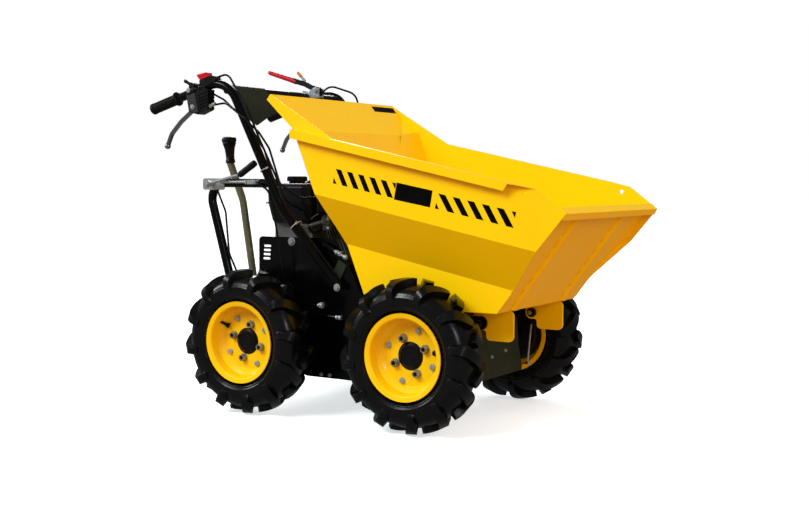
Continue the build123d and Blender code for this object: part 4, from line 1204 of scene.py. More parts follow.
@dataclass
class ChassisTrim:
    """Screws, nuts, plugs and small fittings of the frame and drive line."""

    body: str = "chassis"
    panel_y: float = 201.5
    # How far the rods and cable ends stand off the right side panel.
    stand_off: float = 5.0
    cable_stud: Point = (-231.0, -201.5, 347.0)
    # X and Z along the clutch cable's end and the low rod.
    cable_end: tuple[Pair, ...] = ((-240.0, 352.0), (-200.0, 322.0), (-155.0, 305.0), (-112.0, 303.0))
    low_rod: tuple[Pair, ...] = ((-143.0, 279.0), (-95.0, 276.0), (-47.0, 272.5))
    low_rod_way: Point = (1.0, 0.0, -0.07)
    rod_clips_x: Pair = (-135.0, -95.0)
    adjuster_ends: tuple[Point, Point] = ((-97.0, -211.0, 474.0), (-24.0, -211.0, 441.0))
    adjuster_plate: Point = (-48.0, -203.2, 405.0)
    adjuster_plate_deg: float = 29.794
    # X and Z of the axle's and the skip pivot's middle.
    axle: Pair = (246.5, 202.0)
    pivot: Pair = (373.0, 281.0)
    # Y and Z on the front plate and of the tie rod's ends, and how far the rod stands in front of it.
    front_plate_bolts: tuple[Pair, ...] = ((-27.0, 172.0), (55.0, 180.0))
    tie_rod: tuple[Pair, Pair] = ((206.0, 240.0), (184.0, 128.0))
    tie_rod_ahead: float = 7.0
    bar_end: Point = (-385.0, 209.5, 270.0)
    bar_half: float = 14.0

    def screws(self) -> list[Screws]:
        """Lists the hexagon screws and nuts, by what they hold.

        Returns:
            The rows of like screws.
        """
        front = corners("front_plate")[1].x
        (axle_x, axle_z), (pivot_x, pivot_z) = self.axle, self.pivot
        black = PAINT.frame_black
        lower_edge = grid((-110.0, -82.0, 60.0, 110.0), (self.panel_y,), (109.0,))
        case_joint = grid((-345.0, -215.0), (6.0,), (165.0, 215.0, 262.0))
        return [
            # The side panels.
            Screws([(-213.0, self.panel_y, 478.0)], LEFT, paired=True, across=14.0, washer=1.75),
            Screws(lower_edge, LEFT, paired=True, across=8.0, washer=1.4),
            # The clutch cable's stud.
            Screws([self.cable_stud], RIGHT, across=13.0, washer=1.5),
            # The gearbox, the axle's case and the flanges of its tubes.
            Screws(case_joint, LEFT, paired=True, across=9.0, height=5.0),
            Screws(circle((axle_x, 6.8, axle_z), 58.5, 8, 22.5), LEFT, paired=True, across=7.0, height=4.0),
            Screws(circle((axle_x, 64.0, axle_z), 27.0, 6), LEFT, paired=True, across=8.0, height=4.5),
            # The front plate.
            Screws([(front, y, z) for y, z in self.front_plate_bolts], FORWARD, across=8.0, washer=1.3),
            # The skip's pivot, outside and inside its brackets.
            Screws([(pivot_x, 174.0, pivot_z)], LEFT, black, True, across=19.0, height=9.0),
            Screws([(pivot_x, 134.0, pivot_z)], RIGHT, black, True, across=19.0, height=8.0),
            # The skid plate, the deck and the rear cross bar.
            Screws(grid((-130.0, 130.0), (-150.0, 0.0, 150.0), (100.0,)), DOWN, across=10.0, washer=1.6),
            Screws(grid((-390.0, -125.0), (-180.0, 180.0), (300.0,)), UP, across=10.0, washer=1.8),
            Screws(grid((-360.0, -372.0), (-45.0, 45.0), (255.0,)), DOWN, across=10.0, height=6.0),
        ]

    def turned_parts(self) -> list[Turned]:
        """Lists the plugs, caps and round ends.

        Returns:
            The rows of like parts.
        """
        y = -self.panel_y - self.stand_off
        (plug_x, plug_z), (rod_x, rod_z) = self.cable_end[-1], self.low_rod[-1]
        tie_x = corners("front_plate")[1].x + self.tie_rod_ahead
        eye = ((4.0, 5.0), (4.0, 12.0), (8.0, 14.0), (9.5, 18.0), (8.0, 22.0), (3.0, 23.5))
        plug = ((3.5, -8.0), (5.0, -6.0), (5.0, 0.0), (8.5, 1.0), (9.0, 9.0), (7.0, 12.0), (3.0, 13.0))
        rod_end = ((5.0, -3.0), (6.5, 0.0), (6.5, 5.0), (5.0, 8.0), (2.0, 8.5))
        tie_end = ((5.5, 0.0), (6.5, 2.0), (6.5, 5.0), (4.5, 7.0), (2.0, 7.5))
        pin = ((6.0, 0.0), (6.0, 12.0), (5.0, 13.0))
        drain, vent = ((9.0, 0.0), (9.0, 5.0), (7.5, 6.0)), ((12.0, 0.0), (12.0, 8.0), (9.0, 12.0))
        bearing_cap = ((9.0, 0.0), (9.0, 3.0), (6.0, 3.8))
        return [
            Turned([self.cable_stud], RIGHT, profile=eye),
            Turned([(plug_x, y, plug_z)], FORWARD, profile=plug),
            Turned([(rod_x, y, rod_z)], self.low_rod_way, profile=rod_end, steps=16),
            Turned([(tie_x, *self.tie_rod[1])], FORWARD, profile=tie_end, steps=16),
            Turned([(self.pivot[0], 134.0, self.pivot[1])], RIGHT, paired=True, profile=pin, steps=16),
            # The gearbox's drain and vent, and the bearing caps of the drive shaft's joints.
            Turned([(-280.0, 20.0, 118.5)], DOWN, profile=drain, steps=6),
            Turned([(-347.0, 40.0, 240.0)], (-1.0, 0.0, 0.1), PAINT.frame_black, profile=vent, steps=18),
            Turned(grid((-175.0, 125.0), (23.0,), (self.axle[1],)), LEFT, paired=True, profile=bearing_cap),
        ]

    def rods(self, shape: Shape) -> None:
        """Adds the cable's end and the low rod on the right side panel, and the tie rod in front.

        Args:
            shape: the shape that they go to.
        """
        black = PAINT.frame_black
        y = -self.panel_y - self.stand_off
        shape.tube(smooth_route([(x, y, z) for x, z in self.cable_end], 8), 1.8, 8, black)
        shape.tube(smooth_route([(x, y, z) for x, z in self.low_rod], 6), 2.2, 8, black)
        end_x, end_z = self.low_rod[-1]
        shape.hexagon(aim((end_x, y, end_z), self.low_rod_way) @ shifted(z=-10.0), 10.0, 6.0)
        for x in self.rod_clips_x:
            shape.block((10.0, 9.0, 14.0), shifted(x, -self.panel_y - 3.5, 279.0), black)
        x = corners("front_plate")[1].x + self.tie_rod_ahead
        start, end = (Vector((x, y, z)) for y, z in self.tie_rod)
        shape.tube([start, (start + end) / 2, end], 2.6, 10)
        for clip, width in ((start, 16.0), (end, 12.0)):
            shape.block((9.0, width, 4.0), shifted(x - 2.5, clip.y, clip.z), black)

    def adjuster(self, shape: Shape) -> None:
        """Adds the cable adjuster beside the engine: bellows, threaded barrel and two nuts.

        Args:
            shape: the shape that it goes to.
        """
        start, end = (Vector(p) for p in self.adjuster_ends)
        along, length = aim(start, end - start), (end - start).length
        folds, first, pitch = 7, 2.0, 5.5
        bellows = [(3.0, 0.0)]
        for i in range(folds):
            bellows += [(8.5, first + i * pitch), (5.5, first + 2.8 + i * pitch)]
        shape.disc([*bellows, (3.5, 42.0)], along, 20, PAINT.jacket)
        shape.disc([(3.6, 40.0), (3.6, length)], along, 16)
        for place in (48.0, 57.0):
            shape.hexagon(along @ shifted(z=place), 12.0, 5.0)
        shape.disc([(6.5, length - 4.0), (6.5, length + 6.0), (3.0, length + 8.0)], along, 18)
        shape.prism(rectangle((-4.0, -5.0), (4.0, 9.0)), 62.0, 65.0, along)
        plate = shifted(*self.adjuster_plate) @ turned(self.adjuster_plate_deg, "Y")
        shape.block((30.0, 3.0, 46.0), plate, PAINT.panel_grey)

    def build(self) -> list[bpy.types.Object]:
        """Builds the fittings of the frame and drive line as one piece.

        Returns:
            The piece, in a list.
        """
        shape = Shape(PAINT.zinc, PAINT.frame_black, PAINT.jacket, PAINT.panel_grey)
        for row in (*self.screws(), *self.turned_parts()):
            row.add_to(shape)
        self.rods(shape)
        self.adjuster(shape)
        x, y, z = self.bar_end
        section = rectangle((-self.bar_half, -self.bar_half), (self.bar_half, self.bar_half))
        for side in BOTH:
            shape.prism(section, 0.0, 2.5, aim((x, side * y, z), (0, side, 0)), PAINT.frame_black)
        return [shape.make("chassis_fittings", self.body, bevel=0.3, crease_deg=30.0,
                           segments=1)]


@dataclass
class EngineTrim:
    """What shows on the engine beyond its main castings: plug, carburettor, linkage, hoses and screws."""

    body: str = "chassis"
    # X and Z of the crank, and the cylinder's lean above the forward direction.
    crank: Pair = (-300.0, 406.0)
    tilt_deg: float = 25.0
    head_out: float = 234.0
    cover_y: float = -100.0
    # X and Z of the recoil starter's middle, and Y of its face.
    starter: Pair = (-300.0, 418.0)
    starter_face: float = 118.0
    cap_at: Pair = (-306.0, -50.0)
    cap_radius: float = 30.0
    muffler_face: float = -88.0
    bowl: Point = (-168.0, -92.0, 506.0)
    plug_lead: tuple[Point, ...] = (
        (-66.0, 88.0, 506.0), (-120.0, 102.0, 490.0), (-190.0, 106.0, 500.0), (-232.0, 104.0, 470.0),
    )
    choke_rod: tuple[Point, ...] = (
        (-152.0, -111.0, 560.0), (-190.0, -112.0, 552.0), (-232.0, -112.0, 524.0), (-262.0, -110.0, 520.0),
    )
    fuel_hose: tuple[Point, ...] = (
        (-230.0, -96.0, 532.0), (-222.0, -104.0, 508.0), (-204.0, -108.0, 500.0), (-190.0, -104.0, 506.0),
        (-178.0, -96.0, 514.0),
    )
    # The governor's spring: its ends, its radius, its wire's radius and its turns.
    spring_ends: tuple[Point, Point] = ((-248.0, -118.0, 512.0), (-164.0, -118.0, 534.0))
    spring: tuple[float, float, int] = (4.0, 0.9, 14)

    def up_cylinder(self, out: float, y: float, up: float) -> Vector:
        """A point by its distance out along the leaning cylinder, across, and above its axis."""
        tilt = math.radians(self.tilt_deg)
        return Vector((self.crank[0] + out * math.cos(tilt) - up * math.sin(tilt), y,
                       self.crank[1] + out * math.sin(tilt) + up * math.cos(tilt)))

    def rows(self) -> list[Row]:
        """Lists the screws of the crankcase, head, feet, starter, silencer and air cleaner.

        Returns:
            The rows of like screws.
        """
        x, z = self.starter
        out = self.up_cylinder(1, 0, 0) - self.up_cylinder(0, 0, 0)
        head = [self.up_cylinder(self.head_out, y, up) for y in (-38.0, 38.0) for up in (-26.0, 26.0)]
        feet = grid((-382.0, -230.0), (-74.0, 74.0), (310.0,))
        starter = circle((x, self.starter_face, z), 92.0, 4, 45.0)
        silencer = grid((self.muffler_face,), (26.0, 118.0), (562.0, 612.0))
        air_cleaner = grid((-134.0,), (-135.0,), (515.0, 620.0))
        round_head, small_head = ((4.5, 0.0), (4.5, 2.0), (3.2, 3.0)), ((4.0, 0.0), (4.0, 2.5), (2.5, 3.2))
        return [
            Screws([(-262.0, -82.0, 318.0)], RIGHT, PAINT.zinc, across=13.0, washer=1.5),
            Screws(head, out, PAINT.zinc, across=11.0, height=6.0),
            Screws(feet, UP, PAINT.zinc, across=12.0, washer=1.7),
            Screws(starter, LEFT, PAINT.zinc, across=8.0, washer=1.6),
            Turned(silencer, FORWARD, PAINT.zinc, profile=round_head, steps=14),
            Turned(air_cleaner, RIGHT, PAINT.zinc, profile=small_head, steps=12),
        ]

    def ignition(self, shape: Shape) -> None:
        """Adds the spark plug, its cap and its lead.

        Args:
            shape: the shape that they go to.
        """
        way = self.up_cylinder(1, 0, 0.35) - self.up_cylinder(0, 0, 0)
        plug = aim(self.up_cylinder(self.head_out - 2, 26.0, 12.0), way)
        shape.hexagon(plug, 18.0, 8.0)
        shape.disc([(5.5, 8.0), (5.0, 16.0)], plug, 16)
        cap = [(8.0, 13.0), (9.0, 16.0), (8.5, 34.0), (10.0, 36.0), (9.0, 42.0), (4.0, 45.0)]
        shape.disc(cap, plug, 20, PAINT.jacket)
        start = plug @ Vector((0, 0, 38.0))
        lead = [start, start + Vector((6.0, 26.0, 0.0)), *self.plug_lead]
        shape.tube(smooth_route(lead, 8), 3.5, 10, PAINT.jacket)

    def carburettor(self, shape: Shape) -> None:
        """Adds the carburettor's body and bowl, the choke lever and the fuel hose.

        Args:
            shape: the shape that they go to.
        """
        bowl = shifted(*self.bowl)
        cup = [(3.0, -5.0), (3.0, 0.0), (11.0, 1.0), (13.5, 5.0), (13.5, 18.0), (15.5, 19.0), (15.5, 22.0)]
        shape.disc(cup, bowl, 28)
        shape.disc([(12.5, 22.0), (12.5, 46.0)], bowl, 24)
        shape.disc([(9.0, -16.0), (9.0, 26.0)], bowl @ aim((0, 0, 34.0), LEFT), 20)
        lever = aim((-152.0, -108.0, 540.0), RIGHT)
        shape.prism([(-5, -5), (5, -5), (4, 34), (-4, 34)], 0.0, 2.0, lever, PAINT.zinc)
        shape.disc([(5.0, 2.0), (5.0, 4.0), (3.0, 5.0)], lever, 14, PAINT.zinc)
        shape.tube(smooth_route(self.choke_rod, 6), 1.6, 8, PAINT.zinc)
        shape.tube(smooth_route(self.fuel_hose, 8), 3.6, 10, PAINT.jacket)

    def governor(self, shape: Shape) -> None:
        """Adds the governor's arm and its spring.

        Args:
            shape: the shape that they go to.
        """
        radius, wire, turns = self.spring
        start, end = (Vector(p) for p in self.spring_ends)
        steps = turns * 10
        coil = []
        for i in range(steps + 1):
            angle = 2 * math.pi * turns * i / steps
            out = Vector((0, radius * math.cos(angle), radius * math.sin(angle)))
            coil.append(start.lerp(end, i / steps) + out)
        shape.tube(coil, wire, 6, PAINT.zinc)
        arm = aim((-258.0, -104.0, 470.0), RIGHT)
        shape.prism([(-7, 0), (7, 0), (5, 58), (-5, 58)], 0.0, 3.0, arm, PAINT.zinc)
        shape.hexagon(arm @ shifted(0, 8, 3), 10.0, 5.0, PAINT.zinc)

    def crankcase(self, shape: Shape) -> None:
        """Adds the crankcase cover's rim, hub, ribs and screws, and the oil plug.

        Args:
            shape: the shape that they go to.
        """
        x, z = self.crank
        cover = aim((x, self.cover_y, z), RIGHT)
        shape.lathe([(50.0, -3.0), (66.0, -3.0), (66.0, 2.5), (52.0, 4.0)], cover, 48)
        shape.lathe([(14.0, 0.0), (24.0, 0.0), (22.0, 9.0), (14.0, 10.0)], cover, 32)
        for i in range(6):
            shape.hexagon(cover @ turned(60 * i + 15) @ shifted(59, 0, 3), 10.0, 5.5, PAINT.zinc)
        for i in range(3):
            shape.prism(rectangle((22.0, -2.5), (54.0, 2.5)), 0.0, 4.0, cover @ turned(120 * i))
        oil = aim((-352.0, -82.0, 330.0), (-0.35, -1, 0.45))
        plug = [(13.0, 0.0), (13.0, 6.0), (16.0, 7.0), (16.0, 15.0), (11.0, 18.0)]
        shape.disc(plug, oil, 20, PAINT.jacket)
        for i in range(10):
            shape.block((2.5, 3.0, 8.0), oil @ turned(36 * i) @ shifted(16.5, 0, 11), PAINT.jacket)

    def starter_handle(self, shape: Shape) -> None:
        """Adds the starter's cord guide and its flat pull handle.

        Args:
            shape: the shape that they go to.
        """
        x, z = self.starter
        guide = aim((x + 76.0, 128.0, z + 56.0), (0.8, 0.1, 0.6))
        shape.disc([(9.0, -10.0), (9.0, 2.0), (6.0, 4.0)], guide, 18, PAINT.jacket)
        grip = [(4.0, 3.0), (7.0, 6.0), (8.0, 14.0), (16.0, 20.0), (18.0, 25.0), (15.0, 31.0), (5.0, 33.0)]
        shape.disc(grip, guide @ Matrix.Diagonal((1.0, 0.55, 1.0, 1.0)), 24, PAINT.jacket)

    def build_cap(self) -> bpy.types.Object:
        """Builds the tank's cap, with finger grips round it.

        Returns:
            The cap.
        """
        shape = Shape(PAINT.tank)
        low, high = corners("fuel_cap")
        foot = shifted(*self.cap_at, low.z)
        height, radius, ribs = high.z - low.z, self.cap_radius, 30
        wall, top, dish = radius - 1.2, height - 0.2, height - 1.4
        shape.disc([(24.0, 0.0), (24.0, 6.0), (wall, 6.2), (wall, height - 2.5), (radius - 4, top),
                    (14.0, top), (12.0, dish), (4.0, dish)], foot, 48)
        rib = [(radius - 2, -1.3), (radius, -0.8), (radius, 0.8), (radius - 2, 1.3)]
        for i in range(ribs):
            shape.prism(rib, 7.0, height - 3.0, foot @ turned(360 * i / ribs))
        return shape.make("fuel_cap_ribbed", self.body, crease_deg=30.0,
                          replaces="fuel_cap")

    def build(self) -> list[bpy.types.Object]:
        """Builds the engine's trim.

        Returns:
            The pieces.
        """
        shape = Shape(PAINT.cast_alloy, PAINT.jacket, PAINT.zinc)
        for row in self.rows():
            row.add_to(shape)
        for add in (self.ignition, self.carburettor, self.governor, self.crankcase, self.starter_handle):
            add(shape)
        return [shape.make("engine_fittings", self.body, crease_deg=32.0), self.build_cap()]


# ---------------------------------------------------------------------------------------------
# Handlebar and levers
# ---------------------------------------------------------------------------------------------


@dataclass
class HandlebarTrim:
    """Grips, clamps, screws, adjusters and cable ties on the handlebar."""

    body: str = "chassis"
    # The tube's foot on the left and the way that it leaves it, its last bend and its open end.
    foot: Point = (-41.0, 214.0, 358.0)
    foot_way: Point = (180.0, -23.0, -214.0)
    bend: Point = (-383.0, 275.0, 938.0)
    end: Point = (-660.0, 276.0, 858.0)
    foot_bolt: Point = (-40.0, 226.5, 358.0)
    tube_radius: float = 12.5
    grip_length: float = 104.0
    grip_radius: float = 16.5
    flange_radius: float = 21.0
    # The rings under the hand: how many, place of the first, and pitch.
    grip_rings: tuple[int, float, float] = (18, 10.0, 4.4)
    # By the grip: distance in front of its open end, and above the tube's axis.
    lever_pivot: Pair = (155.0, -44.0)
    housing_face: tuple[Pair, ...] = (
        (143.0, -2.0), (139.0, -50.0), (160.0, -63.0), (172.0, -63.0), (174.0, -2.0),
    )
    housing_half: float = 15.0
    face_thickness: float = 1.4
    clamps_ahead: Pair = (176.0, 196.0)
    clamp_width: float = 8.0
    barrel: tuple[Point, Point] = ((-450.0, 279.0, 858.5), (-424.0, 280.0, 867.0))
    mount_screw: Point = (-513.0, 291.0, 906.0)
    thumb_lever: tuple[Point, ...] = (
        (-498.0, -276.0, 913.0), (-520.0, -278.0, 926.0), (-538.0, -280.0, 937.0),
    )
    thumb_radii: tuple[float, ...] = (4.0, 4.6, 4.6, 4.6, 4.6, 4.6, 4.6, 5.4, 4.0)
    # Cable ties: a point that each goes round, the run it is square to, and half its two widths.
    ties: tuple[tuple[Point, Point, float, float], ...] = (
        ((-264.0, -250.0, 681.0), (-162.0, -38.0, 366.0), 17.0, 18.5),
        ((-174.0, -232.0, 525.0), (-180.0, -23.0, 214.0), 17.0, 18.0),
        ((-265.0, 248.0, 676.0), (-162.0, 38.0, 366.0), 15.0, 16.0),
        ((-123.0, 225.0, 458.0), (-180.0, 23.0, 214.0), 14.5, 15.0),
    )

    def grip_frame(self, side: int) -> Matrix:
        """The placing at a grip's open end, with local Z running forward along the tube."""
        end, way = Vector(self.end), Vector(self.bend) - Vector(self.end)
        return aim((end.x, side * end.y, end.z), (way.x, side * way.y, way.z))

    def by_grip(self, side: int, ahead: float, above: float) -> Vector:
        """Gives a point beside a grip's tube.

        Args:
            side: 1 on the left, -1 on the right.
            ahead: its distance in front of the grip's open end.
            above: its distance above the tube's axis, square to the tube.

        Returns:
            The point.
        """
        placing = self.grip_frame(side)
        up = placing.to_3x3().inverted() @ Vector(UP)
        square = (up - Vector((0, 0, up.z))).normalized()
        return placing @ (Vector((0, 0, ahead)) + square * above)

    def build_grips(self) -> bpy.types.Object:
        """Builds both rubber grips, with rings round the hand's part and a flange before the levers.

        Returns:
            The grips.
        """
        shape = Shape(PAINT.grip)
        radius, flange = self.grip_radius, self.flange_radius
        valley, crest = radius - 1.6, radius - 0.5
        profile = [(11.0, -3.9), (radius - 2, -3.9), (radius, -2.0), (radius, 6.0), (radius - 1.8, 7.5)]
        count, first, pitch = self.grip_rings
        for i in range(count):
            place = first + i * pitch
            profile += [(valley, place), (crest, place + 0.9), (crest, place + 2.6), (valley, place + 3.5)]
        top = self.grip_length - 10.0
        profile += [(valley, top - 2), (flange - 1, top - 0.5), (flange, top + 1.0), (flange, top + 3.5),
                    (flange - 1.5, top + 5.5), (15.0, top + 9.0), (self.tube_radius, top + 9.5)]
        for side in BOTH:
            shape.disc(profile, self.grip_frame(side), 40)
        return shape.make("ribbed_grips", self.body, crease_deg=40.0, replaces="grips")

    def lever_pivots(self, shape: Shape, side: int) -> None:
        """Adds a lever pivot's screw heads, and the paler half shells of its housing.

        Args:
            shape: the shape that they go to.
            side: 1 on the left, -1 on the right.
        """
        for face in BOTH:
            out = Vector((0, face * self.housing_half, 0))
            seat = aim(self.by_grip(side, *self.lever_pivot) + out, (0, face, 0))
            shape.disc([(7.5, -1.0), (7.5, 1.5), (5.5, 3.0)], seat, 20)
            shape.prism(hex_outline(7.0), 3.0, 5.0, seat)
            outline = [self.by_grip(side, ahead, above) + out for ahead, above in self.housing_face]
            raised = [p + Vector((0, face * self.face_thickness, 0)) for p in outline]
            shape.rings([outline, raised][::-face], None, PAINT.grey_plastic)

    def clamps(self, shape: Shape, side: int) -> None:
        """Adds the clamps round one grip tube, each with its screw.

        Args:
            shape: the shape that they go to.
            side: 1 on the left, -1 on the right.
        """
        half, outer, crown = self.clamp_width / 2, 16.0, 16.8
        ring = [(self.tube_radius, -half), (outer, -half), (crown, 0.0), (outer, half),
                (self.tube_radius, half)]
        for ahead in self.clamps_ahead:
            shape.lathe(ring, self.grip_frame(side) @ shifted(z=ahead), 32, PAINT.frame_black)
            head = aim(self.by_grip(side, ahead, 15.0), UP)
            shape.disc([(4.2, 0.0), (4.2, 4.0), (3.2, 5.0)], head, 16)

    def cable_barrel(self, shape: Shape, side: int) -> None:
        """Adds a clutch cable's knurled adjuster.

        Args:
            shape: the shape that it goes to.
            side: 1 on the left, -1 on the right.
        """
        start, end = (Vector((x, side * y, z)) for x, y, z in self.barrel)
        barrel, length, knurls = aim(start, end - start), (end - start).length, 12
        shape.disc([(3.2, -3.0), (3.2, 3.0), (6.0, 3.5), (6.0, 9.0), (4.2, 9.5), (4.2, 16.0), (5.2, 16.5),
                    (5.2, length), (3.6, length + 1.0)], barrel, 20)
        for i in range(knurls):
            shape.block((1.2, 1.4, 5.0), barrel @ turned(360 / knurls * i) @ shifted(6.0, 0, 6.2))

    def build_fittings(self) -> bpy.types.Object:
        """Builds the screws, clamps, adjusters, tube caps, housing faces and thumb lever.

        Returns:
            The fittings, as one piece.
        """
        shape = Shape(PAINT.zinc, PAINT.frame_black, PAINT.grey_plastic)
        for side in BOTH:
            for add in (self.lever_pivots, self.clamps, self.cable_barrel):
                add(shape, side)
        screw_head = ((8.0, -3.0), (8.0, 1.5), (5.5, 3.4))
        tube_cap = ((11.0, -4.0), (12.3, 0.0), (12.3, 1.5), (10.0, 2.6))
        for row in (
            Turned([self.mount_screw], LEFT, paired=True, profile=screw_head),
            Turned([self.foot], self.foot_way, PAINT.frame_black, True, profile=tube_cap, steps=28),
            Screws([self.foot_bolt], LEFT, paired=True, across=13.0, washer=1.6),
        ):
            row.add_to(shape)
        route = smooth_route(self.thumb_lever, 4)
        shape.tube(route, self.thumb_radii[0], 14, PAINT.frame_black, self.thumb_radii, squash=0.8)
        return shape.make("handlebar_fittings", self.body, bevel=0.25, segments=1)

    def build_ties(self) -> bpy.types.Object:
        """Builds the cable ties, with their heads and cut tails.

        Returns:
            The ties.
        """
        shape = Shape(PAINT.nylon)
        steps, half, thickness = 28, 1.2, 1.2
        section = ((0.0, -half), (thickness, -half), (thickness, half), (0.0, half))
        for centre, run, wide, deep in self.ties:
            placing = aim(centre, run, FORWARD)
            loops = []
            for i in range(steps):
                a = 2 * math.pi * i / steps
                inner = Vector((deep * math.cos(a), wide * math.sin(a), 0))
                out = inner.normalized()
                loops.append([inner + out * proud + Vector((0, 0, along)) for proud, along in section])
            shape.rings(loops, placing, closed=True)
            head = placing @ shifted(deep * 0.7, wide * 0.72) @ turned(45.837)
            shape.block((4.5, 5.5, 5.0), head)
            shape.block((14.0, 1.2, 2.4), head @ shifted(8.0, 1.0))
        return shape.make("cable_ties", self.body, crease_deg=30.0)

    def build(self) -> list[bpy.types.Object]:
        """Builds the handlebar's trim.

        Returns:
            The pieces.
        """
        return [self.build_fittings(), self.build_grips(), self.build_ties()]


@dataclass
class LeverTrim:
    """Knobs, sleeves and small parts on the gear lever, the tipping catch and the drive lever."""

    body: str = "chassis"
    knob_foot: Point = (-560.0, -50.0, 702.0)
    knob_way: Point = (-6.0, 0.0, 79.0)
    # Radius and height of each corner of the gear knob, from its foot.
    knob: tuple[Pair, ...] = (
        (12.5, 0.0), (14.5, 1.5), (14.5, 9.0), (13.0, 11.0), (13.2, 26.0), (15.5, 44.0), (19.5, 57.0),
        (21.0, 60.0), (20.0, 61.5), (20.0, 63.5), (22.0, 65.0), (22.6, 71.0), (21.0, 77.0), (16.0, 79.8),
        (6.0, 80.0),
    )
    gear_foot: Point = (-456.0, -50.0, 261.5)
    bracket_bolt: Point = (-492.0, -237.5, 639.0)
    catch_bolt: Point = (-470.0, -261.0, 640.0)
    sleeve: tuple[Point, Point] = ((-352.0, -256.0, 667.0), (-301.0, -256.0, 698.0))
    fork: Point = (-334.0, -247.5, 645.0)
    fork_half: float = 6.5
    drive_y: float = 120.0
    # X and Z on the drive lever: its pivot, its mount's screws, and where the grip starts and ends.
    drive_pivot: Pair = (-352.0, 926.0)
    mount_screws: Pair = (-398.0, 921.5)
    drive_knee: Pair = (-434.0, 956.0)
    drive_end: Pair = (-545.0, 990.0)
    catch: Pair = (-411.0, 966.0)

    def build_knob(self) -> bpy.types.Object:
        """Builds the gear lever's knob.

        Returns:
            The knob.
        """
        shape = Shape(PAINT.plastic)
        shape.disc(self.knob, aim(self.knob_foot, self.knob_way), 40)
        return shape.make("gear_knob_turned", self.body, crease_deg=38.0,
                          replaces="gear_knob")

    def build_drive_grip(self) -> bpy.types.Object:
        """Builds the red grip of the drive lever, tapered towards its end.

        Returns:
            The grip.
        """
        shape = Shape(PAINT.red)
        start, end = (Vector((x, self.drive_y, z)) for x, z in (self.drive_knee, self.drive_end))
        bend = start + Vector((-22.0, 0.0, 7.0))
        line = smooth_route([start, bend, bend.lerp(end, 0.5), end], 10)
        thick, taper = 8.6, 1.8
        radii = [thick - taper * i / len(line) for i in range(len(line))]
        radii[0], radii[-1], radii[-2] = 7.0, 3.5, 6.0
        shape.tube(line, thick, 20, radii=radii, squash=0.85)
        return shape.make("drive_grip_tapered", self.body, crease_deg=45.0,
                          replaces="drive_lever_grip")

    def tipping_catch(self, shape: Shape) -> None:
        """Adds the tipping catch's rubber sleeve, and the fork at its rod's end.

        Args:
            shape: the shape that they go to.
        """
        start, end = (Vector(p) for p in self.sleeve)
        length = (end - start).length
        profile = [(6.5, -6.0), (8.0, -5.0), (9.6, 4.0), (9.2, length * 0.5), (9.9, length * 0.8),
                   (9.0, length + 1.5), (5.0, length + 3.0)]
        shape.disc(profile, aim(start, end - start), 24, PAINT.grip)
        fork = aim(self.fork, FORWARD)
        shape.hexagon(fork @ shifted(z=-9.0), 10.0, 5.0)
        for face in BOTH:
            shape.block((3.0, 12.0, 34.0), fork @ shifted(face * self.fork_half, 0, 17.0))
        shape.block((16.0, 12.0, 6.0), fork)
        shape.disc([(4.0, -11.0), (4.0, 11.0)], fork @ shifted(z=27.0) @ aim((0, 0, 0), FORWARD), 16)

    def drive_lever(self, shape: Shape) -> None:
        """Adds the drive lever's catch with its orange cap.

        Args:
            shape: the shape that it goes to.
        """
        x, z = self.catch
        catch = aim((x, self.drive_y, z), (-1.0, 0.0, 1.0))
        shape.prism(rectangle((-2.0, -4.0), (2.0, 4.0)), -14.0, 10.0, catch)
        shape.disc([(3.0, 8.0), (4.6, 10.0), (5.0, 24.0), (3.5, 27.0)], catch, 16, PAINT.orange)

    def rows(self) -> list[Row]:
        """Lists the levers' bolts, nuts and round heads.

        Returns:
            The rows of like parts.
        """
        (pivot_x, pivot_z), (screw_x, screw_z) = self.drive_pivot, self.mount_screws
        screw_head, gear_foot = ((4.5, 0.0), (4.5, 4.0), (3.4, 5.0)), ((20.0, 0.0), (20.0, 4.0), (16.0, 5.0))
        on_mount = grid((screw_x,), (self.drive_y - 12.0, self.drive_y + 12.0), (screw_z,))
        return [
            Screws([self.bracket_bolt], RIGHT, across=12.0, washer=1.6),
            Screws([self.catch_bolt], RIGHT, across=12.0, washer=1.5),
            Screws([(pivot_x, self.drive_y - 17.0, pivot_z)], RIGHT, across=12.0, height=5.0),
            Screws([(pivot_x, self.drive_y + 17.0, pivot_z)], LEFT, across=12.0, height=5.0),
            Turned(on_mount, UP, profile=screw_head, steps=16),
            Turned([self.gear_foot], UP, profile=gear_foot, steps=28),
        ]

    def build(self) -> list[bpy.types.Object]:
        """Builds every lever's parts.

        Returns:
            The pieces.
        """
        shape = Shape(PAINT.zinc, PAINT.grip, PAINT.orange)
        for row in self.rows():
            row.add_to(shape)
        self.tipping_catch(shape)
        self.drive_lever(shape)
        parts = shape.make("lever_fittings", self.body, bevel=0.3, segments=1)
        return [parts, self.build_knob(), self.build_drive_grip()]


# ---------------------------------------------------------------------------------------------
# Dressing of the CAD nodes
# ---------------------------------------------------------------------------------------------

FINISH_OF_SLOT = {
    "yellow_paint": PAINT.skip_yellow, "rim_yellow": PAINT.rim_yellow, "black_steel": PAINT.frame_black,
    "grey_steel": PAINT.panel_grey, "cast_black": PAINT.cast_black, "cast_grey": PAINT.cast_alloy,
    "zinc_steel": PAINT.zinc, "bright_metal": PAINT.chrome, "black_plastic": PAINT.plastic,
    "red_plastic": PAINT.red, "soft_rubber": PAINT.grip, "tyre_rubber": PAINT.tyre,
}
FINISH_OF_NODE = {"gear_lever": PAINT.olive_zinc, "fuel_tank": PAINT.tank, "fuel_cap": PAINT.tank}
